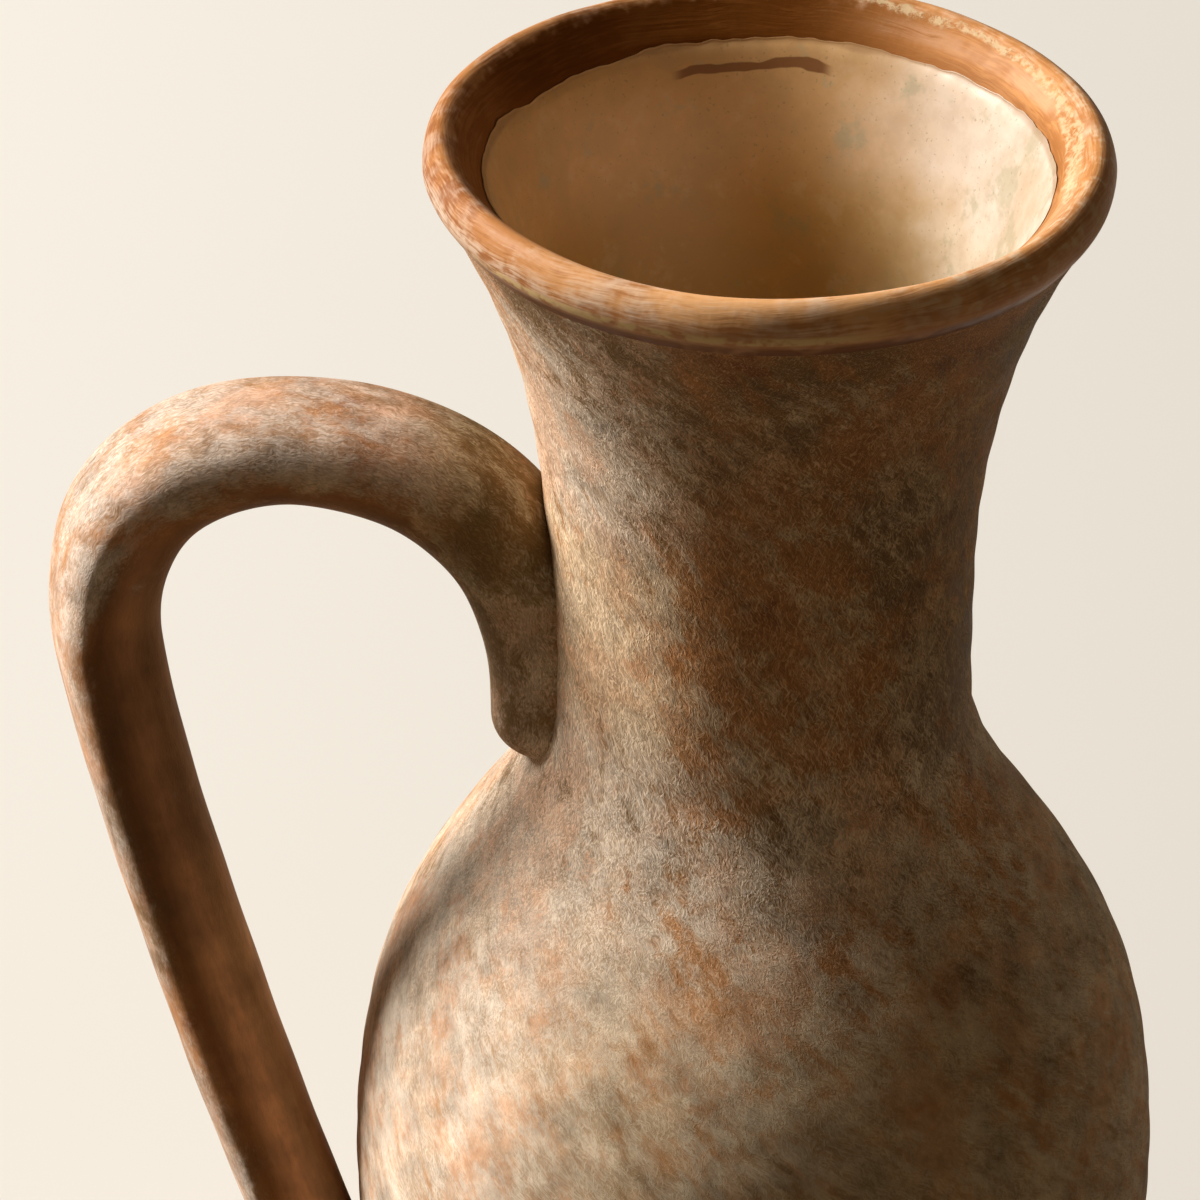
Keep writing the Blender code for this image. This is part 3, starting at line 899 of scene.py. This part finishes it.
def crossing_hairs(n, curled, travelled, passes, drawn):
    """The strongest of several layers of hair strokes, each turning as the brush travels."""
    strongest = None
    for twist, squash, scale in passes:
        turned = n.turn(curled, n.times(travelled, twist))
        hairs = n.drawn_noise(turned, squash * drawn, scale, 1.0, 0.5)
        strongest = hairs if strongest is None else n.math("MAXIMUM", strongest, hairs)
    return strongest


def slip_coat(n, laid, travelled, cover, crispness, drawn=1.0):
    """Terracotta under dry-brushed slip: colour, coverage and hair-stroke height.

    laid is the space in which the brush ran along Z, travelled is how far it got there, and a higher
    drawn makes the strokes shorter."""
    curled = n.curl(laid, 170.0, 2.5, 0.6, 0.0036)
    fibre = crossing_hairs(n, curled, travelled, BRUSH_PASSES, drawn)
    blotch = n.noise(n.place, 46.0, 4.0, 0.66)
    swept = n.turn(curled, n.times(travelled, BRUSH_PASSES[0][0]))
    dab = n.drawn_noise(swept, 0.45, 260.0, 3.0, 0.64)
    patch = n.drawn_noise(swept, 0.30, 125.0, 2.0, 0.55)
    tone = n.noise_from((3.1, 1.7, 0.4), 27.0, 2.5, 0.55)
    # clay: olive to orange, redder in patches and dark between the strokes
    bare = n.step(n.weigh((patch, 1.0), (tone, 0.5), (dab, 0.25)), 0.02, 0.22)
    ground = n.mix(n.math("MAXIMUM", bare, n.step(tone, 0.42, 0.58)), CLAY_OLIVE, CLAY_ORANGE)
    ground = n.mix(n.step(n.weigh((blotch, -1.0), (dab, 0.7)), 0.12, 0.24), ground, CLAY_RED)
    gaps = n.times(n.step(fibre, 0.62, 0.44), 0.25)
    ground = n.mix(n.times(gaps, crispness), ground, CLAY_DARK)
    # slip: grey in the hollows, flushed peach, and palest in clouds and tufts
    crest = n.step(n.plus(fibre, n.times(n.weigh((dab, 1.0)), 0.35)), 0.50, 0.72)
    slip = n.mix(crest, SLIP_GREY, SLIP_PALE)
    flush = n.noise_from((1.3, 4.2, 2.6), 52.0, 3.5, 0.62)
    slip = n.mix(n.times(n.step(flush, 0.44, 0.62), 0.80), slip, SLIP_PEACH)
    cloud = n.noise_from((4.4, 0.6, 8.2), 62.0, 4.5, 0.68)
    tufts = n.drawn_noise(swept, 0.38, 420.0, 2.0, 0.55)
    cloud = n.step(n.plus(cloud, n.weigh((fibre, 0.4), (tufts, 0.6))), 0.44, 0.66)
    slip = n.mix(n.times(cloud, n.scaled(crispness, -0.55, 0.75)), slip, HAIR_PALE)
    # where the slip covers the clay
    strokes = n.times(n.scaled(fibre, 1.3, -1.3 * 0.60), crispness)
    level = n.plus(n.weigh((blotch, 1.9), (dab, 2.0)), strokes)
    level = n.minus(level, n.times(bare, 0.30))
    soft = n.scaled(crispness, -0.18, 0.46)
    low_edge = n.minus(0.42, soft)
    covered = n.step(n.plus(level, cover), low_edge, n.plus(0.46, soft))
    colour = n.mix(n.times(covered, 0.92), ground, slip)
    between = n.times(n.step(fibre, 0.58, 0.46), n.scaled(crispness, 0.18, 0.03))
    colour = n.mix(between, colour, CLAY_OLIVE)
    # fine pale hairs, rusty smudges and an uneven shade over both
    scratch = crossing_hairs(n, curled, travelled, SCRATCHES, drawn)
    hairs = n.times(n.step(scratch, 0.58, 0.74), n.scaled(crispness, 0.34, 0.05))
    colour = n.mix(hairs, colour, HAIR_PALE)
    smudge = n.noise_from((2.4, 7.3, 3.8), 88.0, 3.5, 0.62)
    smudge = n.times(n.step(n.plus(smudge, n.weigh((scratch, 0.25))), 0.59, 0.72), 0.50)
    colour = n.mix(smudge, colour, RUST)
    ripple = n.times(n.scaled(n.step(scratch, 0.44, 0.72), 0.62, -0.30), crispness)
    mottle = n.weigh((n.noise_from((6.1, 2.2, 0.9), 115.0, 4.0, 0.7), 1.0))
    mottle = n.times(mottle, n.scaled(crispness, -0.45, 1.65))
    colour = n.tint(1.0, colour, n.plus(n.plus(ripple, mottle), 1.0))
    return colour, covered, n.weigh((fibre, 1.4), (dab, 0.9))


def finish_slip(n, colour, covered, relief, depth):
    """A dry, matt slip."""
    return n.shade({
        "Base Color": colour,
        "Roughness": n.plus(0.66, n.times(covered, 0.18)),
        "Specular IOR Level": 0.12,
        "Normal": n.bump(relief, depth, 0.6),
    })


def brushed_slip(name):
    """Slip over clay, brushed down the pot in a lazy spiral."""
    n = Nodes(name)
    height = n.height()
    bearing = n.bearing()
    low = n.step(height, *LOW_BELLY_HEIGHT)
    cover = n.scaled(low, 0.22, 0.62)
    crispness = n.scaled(low, -0.80, 0.92)
    # painted shade on the front right of the neck: less slip and a darker tint there
    shade_side = n.times(n.near(bearing, *SHADE_SIDE_BEARING), n.step(height, *SHADE_SIDE_HEIGHT))
    cover = n.minus(cover, n.times(shade_side, 0.24))
    # painted shade just under the lip: less slip there
    under_lip_shade = n.dropped(height, *UNDER_LIP_SHADE_DROP)
    cover = n.minus(cover, n.times(under_lip_shade, 0.38))
    # painted light on the front left of the upper neck: more pale slip there
    lit_side = n.times(n.near(bearing, *LIT_SIDE_BEARING), n.step(height, *LIT_SIDE_HEIGHT))
    cover = n.scaled(lit_side, 0.24, cover)
    colour, covered, relief = slip_coat(n, n.place, height, cover, crispness)
    # painted shade tint on the front right of the neck
    colour = n.tint(n.times(shade_side, 0.85), colour, SHADE_SIDE_TINT)
    yellowed = n.times(n.near(height, *YELLOWED_LEVEL), n.near(bearing, *YELLOWED_BEARING))
    colour = n.tint(yellowed, colour, YELLOWED_TINT)
    # painted shade on the front of the lower belly
    belly_shade = n.times(n.near(bearing, *BELLY_SHADE_BEARING), n.step(height, *BELLY_SHADE_HEIGHT))
    colour = n.tint(belly_shade, colour, BELLY_SHADE_TINT)
    # painted shade on the back left, where the key lamp falls full on
    colour = n.tint(n.near(bearing, *BACK_LEFT_SHADE_BEARING), colour, BACK_LEFT_SHADE_TINT)
    relief = n.times(relief, n.scaled(low, -0.72, 1.0))
    return finish_slip(n, colour, covered, relief, 0.00026)


def strap_slip(name):
    """The same slip, brushed along the handle, rubbed thin on its inner face, with painted shade near the
    neck.
    """
    n = Nodes(name)
    laid = n.node("Attribute", {}, attribute_type="GEOMETRY", attribute_name="strap").outputs["Vector"]
    parts = n.parts(laid)
    across = parts["X"]
    travelled = parts["Z"]
    height = n.height()
    joint = n.step(n.from_axis(), *JOINT_REACH)
    shaded_upper_joint = n.times(joint, n.step(height, *UPPER_JOINT_SHADE_HEIGHT))
    leg = n.times(n.step(height, *LEG_HEIGHT), n.minus(1.0, joint))
    # the inner face reaches round to the front on the leg, and less far at the joint
    front_face = n.step(parts["Y"], *FRONT_ASIDE)
    shift = n.times(leg, n.scaled(front_face, 0.0100, -0.0015))
    shift = n.plus(shift, n.times(joint, -0.0050))
    inner = n.step(n.minus(across, shift), *INNER_ACROSS)
    crispness = n.plus(n.times(joint, 0.30), n.scaled(leg, -0.24, 0.42))
    bared = n.scaled(n.times(leg, front_face), 0.45, 0.55)
    bared = n.times(n.times(inner, bared), n.scaled(joint, -0.60, 1.0))
    cover = n.minus(0.68, n.math("MAXIMUM", bared, n.times(shaded_upper_joint, 0.34)))
    colour, covered, relief = slip_coat(n, laid, travelled, cover, crispness, drawn=3.0)
    # rubbed clay of the inner face: a dark band of painted core shadow at the outer edge, redder inward,
    # and painted shade in olive at the far edge
    open_clay = n.minus(1.0, covered)
    rubbed_and_painted_light = n.times(n.times(inner, open_clay), n.scaled(joint, -0.7, 0.86))
    face_clay_and_shade = n.mix(n.step(across, *CORE_SHADE_ACROSS), STRAP_CORE_SHADE, STRAP_RED)
    far_edge_shade = n.times(n.step(across, *FAR_EDGE_SHADE_ACROSS), n.times(front_face, 0.65))
    face_clay_and_shade = n.mix(far_edge_shade, face_clay_and_shade, STRAP_EDGE_SHADE)
    # painted light on the inner face of the lower leg
    face_clay_and_shade = n.tint(n.step(height, *LOW_LEG_LIGHT_HEIGHT), face_clay_and_shade, LOW_LEG_LIGHT_TINT)
    grain = n.drawn_noise(laid, 0.16, 900.0, 2.5, 0.6)
    cloudy = n.weigh((n.noise(n.place, 75.0, 3.5, 0.62), 1.5), (grain, 0.7))
    face_clay_and_shade = n.tint(1.0, face_clay_and_shade, n.plus(cloudy, 1.0))
    # the inner face takes the rubbed clay with its painted shade and light
    colour = n.mix(rubbed_and_painted_light, colour, face_clay_and_shade)
    # painted shade at the joint with the neck: olive over the open clay, and a darker tint at its top
    joint_shade = n.times(joint, n.scaled(open_clay, 0.40, 0.20))
    colour = n.mix(joint_shade, colour, JOINT_SHADE_OLIVE)
    colour = n.tint(shaded_upper_joint, colour, UPPER_JOINT_SHADE_TINT)
    # painted shade on the underside of the arch
    under_arch_shade = n.times(n.step(across, *UNDER_ARCH_SHADE_ACROSS), n.step(height, *UNDER_ARCH_SHADE_HEIGHT))
    colour = n.tint(under_arch_shade, colour, UNDER_ARCH_SHADE_TINT)
    colour = n.tint(n.minus(1.0, joint), colour, STRAP_TINT)
    return finish_slip(n, colour, covered, relief, 0.00014)


def brushed_rim(name):
    """Orange clay of the lip, brushed round the mouth, worn pale on the roll and flaking inside."""
    n = Nodes(name)
    reach = n.from_axis()
    bearing = n.bearing()
    height = n.height()
    curled = n.curl(n.place, 80.0, 1.5, 0.5, 0.003)
    outward = n.vector("SCALE", (1.0, 0.4, 0.0), n.times(reach, 1.3))
    turned = n.vector("ADD", n.vector("MULTIPLY", curled, (0.11, 0.11, 1.5)), outward)
    hair = n.noise(turned, 1300.0, 2.5, 0.6)
    blotch = n.noise(n.place, 70.0, 3.0, 0.6)
    dab = n.noise(curled, 300.0, 2.5, 0.6)
    # painted light: the front of the roll is made more orange
    lit_front = n.times(n.near(bearing, *LIT_FRONT_BEARING), n.dropped(height, *LIT_FRONT_DROP))
    rubbing = n.plus(n.weigh((blotch, 1.2), (hair, 0.8), (dab, 0.4)), n.times(lit_front, 0.16))
    clay = n.mix(n.step(rubbing, -0.20, 0.18), LIP_BROWN, LIP_ORANGE)
    clay = n.mix(n.times(n.near(bearing, *DULL_BEARING), 0.5), clay, LIP_BROWN)
    on_roll = n.step(n.plus(reach, n.times(n.weigh((dab, 1.0)), 0.004)), *ROLL_REACH)
    # the band below the roll is redder, with rubbed streaks, and painted light turns it orange on the right
    # side
    lit_band = n.step(n.plus(bearing, n.weigh((blotch, 1.2), (hair, 0.8))), *LIT_BAND_BACK)
    lit_band = n.times(lit_band, n.step(bearing, *LIT_BAND_FRONT))
    grained = n.mix(n.step(n.weigh((blotch, 1.0), (hair, 1.0)), -0.16, 0.20), BAND_BROWN, LIP_BROWN)
    band_clay = n.mix(0.30, BAND_BROWN, grained)
    rubbed_and_painted_light = n.mix(n.step(n.weigh((hair, 1.0), (blotch, 0.8)), -0.14, 0.20), LIP_BROWN, BAND_LIT_ORANGE)
    band_clay = n.mix(n.times(lit_band, 0.80), band_clay, rubbed_and_painted_light)
    # painted sheen: a soft peach highlight along the lit band
    band_sheen = n.times(n.near(height, *BAND_SHEEN_LEVEL), n.step(blotch, 0.34, 0.60))
    band_clay = n.mix(n.times(n.times(band_sheen, lit_band), 0.50), band_clay, SLIP_PEACH)
    near_glaze = n.dropped(n.plus(height, n.times(n.weigh((blotch, 1.0)), 0.002)), *NEAR_GLAZE_DROP)
    band_clay = n.mix(n.times(near_glaze, 0.45), band_clay, BAND_BROWN)
    # painted shade on the band at the back
    band_clay = n.tint(n.near(bearing, *BACK_BAND_SHADE_BEARING), band_clay, BACK_BAND_SHADE_TINT)
    clay = n.mix(on_roll, band_clay, clay)
    # the roll: painted shade on the left, worn all round, hazy outside on the left and chalky on the right
    leftward = n.step(n.math("ABSOLUTE", bearing), *LEFT_BEARING)
    clay = n.tint(n.times(leftward, on_roll), clay, LEFT_ROLL_SHADE_TINT)
    worn = n.step(n.weigh((blotch, -1.4), (dab, 1.0), (hair, 1.0)), -0.14, 0.46)
    worn = n.times(worn, n.times(on_roll, n.scaled(leftward, -0.12, 0.46)))
    colour = n.mix(worn, clay, SLIP_PALE)
    outside = n.step(reach, *OUTSIDE_REACH)
    hazy = n.times(n.times(n.dropped(height, *OUTSIDE_DROP), outside), leftward)
    hazy = n.times(hazy, n.step(n.weigh((dab, 1.0), (hair, 1.2)), -0.25, 0.15))
    colour = n.mix(n.times(hazy, 0.62), colour, SLIP_PALE)
    chalky = n.step(n.weigh((dab, 1.6), (blotch, 0.8), (hair, 0.6)), 0.00, 0.30)
    chalky = n.times(n.times(chalky, on_roll), n.near(bearing, *CHALKY_BEARING))
    colour = n.mix(n.times(chalky, 0.44), colour, SLIP_PALE)
    # painted shade on the right of the roll
    right_roll_shade = n.times(n.near(bearing, *RIGHT_SHADE_BEARING), on_roll)
    colour = n.tint(right_roll_shade, colour, RIGHT_ROLL_SHADE_TINT)
    # painted shade under the roll, with burnt clay and painted shadow darker still at the front, and an
    # ochre bead along its lower edge at the front left
    shaded = n.times(n.dropped(height, *SHADED_DROP), on_roll)
    colour = n.mix(n.times(shaded, 0.38), colour, LIP_BROWN)
    burnt_and_shadow = n.times(n.dropped(height, *BURNT_SHADOW_DROP), n.near(bearing, *BURNT_SHADOW_BEARING))
    burnt_and_shadow = n.times(n.times(burnt_and_shadow, on_roll), n.step(blotch, 0.30, 0.46))
    colour = n.mix(burnt_and_shadow, colour, LIP_BURNT_SHADOW)
    edge = n.near(n.plus(height, n.times(n.weigh((dab, 1.0)), 0.001)), *OCHRE_LEVEL)
    ochre = n.times(n.times(edge, n.near(bearing, *OCHRE_BEARING)), n.step(dab, 0.34, 0.52))
    colour = n.mix(n.times(n.times(ochre, outside), 0.9), colour, OCHRE)
    # flaked cream paint along the inner edge of the roll, from the right to the back
    wavering = n.plus(reach, n.times(n.weigh((blotch, 1.0), (dab, 0.5)), 0.004))
    to_right = n.near(bearing, *WIDE_FLAKE_BEARING)
    band = n.math("ABSOLUTE", n.minus(wavering, n.scaled(to_right, -0.0016, FLAKE_REACH)))
    reaching = n.scaled(to_right, 0.0008, 0.0003)
    band = n.step(band, n.plus(reaching, 0.0006), reaching)
    flaking = n.step(n.noise(curled, 620.0, 3.0, 0.65), 0.38, 0.58)
    flakes = n.times(n.times(band, n.near(bearing, *FLAKE_BEARING)), flaking)
    colour = n.mix(n.times(flakes, 0.62), colour, FLAKE_CREAM)
    return n.shade({
        "Base Color": colour,
        "Roughness": n.plus(0.48, n.times(worn, 0.45)),
        "Specular IOR Level": n.scaled(on_roll, 0.14, 0.04),
        "Normal": n.bump(n.weigh((hair, 0.8), (dab, 1.0), (flakes, 0.5)), 0.00018, 0.6),
    })


def ivory_glaze(name):
    """Ivory glaze, mottled and finely specked, with a slip streak near its edge."""
    n = Nodes(name)
    height = n.height()
    bearing = n.bearing()
    mottle = n.noise(n.place, 45.0, 4.0, 0.6)
    # painted shade: tan glaze away from the lit right side of the inside, broken by the mottle
    glaze_shade = n.plus(n.math("ABSOLUTE", n.plus(bearing, 0.05)), mottle)
    glaze_shade = n.step(glaze_shade, *GLAZE_SHADE_SPREAD)
    colour = n.mix(glaze_shade, GLAZE_IVORY, GLAZE_SHADE_TAN)
    colour = n.mix(n.times(n.step(mottle, 0.42, 0.66), 0.5), colour, GLAZE_MOTTLE)
    green = n.noise_from((0.7, 2.3, 5.1), 110.0, 4.0, 0.65)
    green = n.plus(green, n.scaled(n.near(bearing, *GLAZE_GREEN_BEARING), 0.07, -0.04))
    colour = n.mix(n.times(n.step(green, 0.53, 0.66), 0.62), colour, GLAZE_GREEN)
    # painted shade deeper inside, strongest away from the right side
    deep_shade = n.times(n.dropped(height, *GLAZE_DEEP_SHADE_DROP), n.scaled(glaze_shade, 0.65, 0.35))
    colour = n.tint(deep_shade, colour, GLAZE_DEEP_SHADE_TINT)
    cloud = n.noise_from((5.2, 0.4, 1.9), 150.0, 4.0, 0.7)
    colour = n.mix(n.times(n.step(cloud, 0.40, 0.66), 0.22), colour, GLAZE_CLOUD)
    colour = n.mix(n.times(n.step(cloud, 0.48, 0.30), 0.10), colour, GLAZE_LIGHT)
    specks = n.step(n.noise(n.place, 1500.0, 1.0, 0.5), 0.66, 0.76)
    colour = n.mix(n.times(specks, 0.45), colour, GLAZE_SPECK)
    # brown slip dragged along just under the glaze line at the back
    waver = n.times(n.weigh((n.noise(n.place, 90.0, 2.5), 1.0)), 0.006)
    streak = n.near(n.plus(height, waver), *STREAK_LEVEL)
    streak = n.times(streak, n.near(bearing, *STREAK_BEARING))
    colour = n.mix(n.times(streak, 0.85), colour, STREAK_BROWN)
    # the glaze breaks brown where it thins at its edge
    thin = n.dropped(n.plus(height, n.times(waver, 0.3)), *THIN_GLAZE_DROP)
    colour = n.mix(n.times(thin, 0.5), colour, GLAZE_EDGE)
    return n.shade({
        "Base Color": colour,
        "Roughness": 0.42,
        "Coat Weight": 0.05,
        "Coat Roughness": 0.16,
        "Normal": n.bump(n.noise(n.place, 60.0, 2.0), 0.0004, 0.35),
    })


def dress(piece, material, slot_name, *nodes):
    """Give a piece its material and its body, and hide the solids that it stands for; its slot name is not
    used.
    """
    piece.data.materials.append(material)
    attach(piece, "root")
    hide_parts(*nodes)


def make_jug():
    slip = brushed_slip("terracotta_slip")
    dress(make_wall("jug_belly", SLAB_TOP, NECK_START), slip, "belly_slip", "belly")
    dress(make_wall("jug_neck", NECK_START, RIM_START), slip, "neck_slip", "neck")
    dress(make_rim(), brushed_rim("rim_clay"), "rim_clay", "rim_coil")
    dress(make_foot(), slip, "foot_clay", "base_slab")
    dress(make_handle(), strap_slip("strap_slip"), "handle_slip", "handle")
    dress(make_glaze(), ivory_glaze("ivory_glaze"), "ivory_glaze", "glaze_lining")


def stage_material():
    """Paper that the camera and mirrors see pale, and that throws less light back on the jug."""
    n = Nodes("studio_paper")
    rays = n.node("LightPath", {}).outputs
    looked_at = n.math("MAXIMUM", rays["Is Camera Ray"], rays["Is Glossy Ray"])
    looked_at = n.math("MAXIMUM", looked_at, rays["Is Transmission Ray"])
    grain = n.times(n.noise(n.place, 3.0, 3.0), 0.08)
    paper = n.mix(grain, PAPER_SEEN, PAPER_GRAIN)
    return n.shade({"Base Color": n.mix(looked_at, PAPER_LIT, paper), "Roughness": 0.9})


def make_studio():
    """Pale floor that curves up into a backdrop behind the jug."""
    radius = SWEEP_CURVE_RADIUS
    profile = [(SWEEP_FRONT, 0.0), (SWEEP_CURVE_START, 0.0)]
    for k in range(1, SWEEP_CURVE_STEPS + 1):
        angle = math.pi / 2 * k / SWEEP_CURVE_STEPS
        profile.append((SWEEP_CURVE_START + radius * math.sin(angle), radius - radius * math.cos(angle)))
    profile.append((SWEEP_CURVE_START + radius, SWEEP_TOP))
    vertices = [(side * SWEEP_HALF_WIDTH, y, z) for side in (-1, 1) for y, z in profile]
    count = len(profile)
    faces = [(k, count + k, count + k + 1, k + 1) for k in range(count - 1)]
    sweep = mesh_object("studio_sweep", vertices, faces)
    sweep.data.materials.append(stage_material())


def make_camera():
    """Camera placed by its sight line to the middle of the mouth and by where that falls in the picture."""
    mouth = Vector((0.0, 0.0, JUG_HEIGHT))
    back = Vector((0.0, -math.cos(SIGHT_ELEVATION), math.sin(SIGHT_ELEVATION)))
    across = (MOUTH_PIXEL[0] - IMAGE_SIZE / 2) / FOCAL_PIXELS
    up = (IMAGE_SIZE / 2 - MOUTH_PIXEL[1]) / FOCAL_PIXELS
    cosine = math.cos(CAMERA_ROLL)
    sine = math.sin(CAMERA_ROLL)
    level_across = across * cosine - up * sine
    level_up = across * sine + up * cosine
    reach = math.sqrt(1 + across ** 2 + up ** 2)
    pitch = math.asin(-back.z * reach / math.hypot(1, level_up)) - math.atan(level_up)
    heading = -math.atan2(level_across, math.cos(pitch) - level_up * math.sin(pitch))
    forward = Vector((
        math.sin(heading) * math.cos(pitch),
        math.cos(heading) * math.cos(pitch),
        math.sin(pitch),
    ))
    level_right = forward.cross(Vector((0.0, 0.0, 1.0))).normalized()
    level_top = level_right.cross(forward)
    right = level_right * cosine + level_top * sine
    top = level_top * cosine - level_right * sine
    data = bpy.data.cameras.new("photo_camera")
    data.sensor_width = SENSOR
    data.lens = FOCAL_PIXELS / IMAGE_SIZE * SENSOR
    data.clip_end = CAMERA_RANGE
    camera = placed("photo_camera", data)
    axes = Matrix((right, top, -forward)).transposed().to_4x4()
    camera.matrix_world = Matrix.Translation(mouth + back * CAMERA_DISTANCE) @ axes
    bpy.context.scene.camera = camera


def add_softbox(name, azimuth, elevation, distance, size, power, colour):
    """Square area lamp aimed at the jug; azimuth 0 is toward the camera and grows toward -X."""
    aim = Vector((0.0, 0.0, JUG_HEIGHT * LAMP_AIM_SHARE))
    azimuth = math.radians(azimuth)
    elevation = math.radians(elevation)
    direction = Vector((
        -math.sin(azimuth) * math.cos(elevation),
        -math.cos(azimuth) * math.cos(elevation),
        math.sin(elevation),
    ))
    data = bpy.data.lights.new(name, "AREA")
    data.shape = "SQUARE"
    data.size = size
    data.energy = power
    data.color = colour
    lamp = placed(name, data)
    lamp.location = aim + direction * distance
    lamp.rotation_euler = direction.to_track_quat("Z", "Y").to_euler()


def make_light():
    for lamp in LAMPS:
        add_softbox(*lamp)
    world = bpy.data.worlds.new("studio_air")
    air = Tree(world)
    looked_at = air.node("LightPath", {}).outputs["Is Camera Ray"]
    dim = air.tree.nodes["Background"]
    air.feed(dim.inputs["Color"], AIR_DIM)
    air.feed(dim.inputs["Strength"], AIR_STRENGTH)
    seen = air.node("Background", {"Color": AIR_SEEN}).outputs[0]
    choice = air.node("MixShader", {0: looked_at, 1: dim.outputs[0], 2: seen}).outputs[0]
    air.feed(air.tree.nodes["World Output"].inputs["Surface"], choice)
    bpy.context.scene.world = world


make_camera()
make_jug()
make_studio()
make_light()
bpy.context.scene.view_settings.view_transform = "Standard"
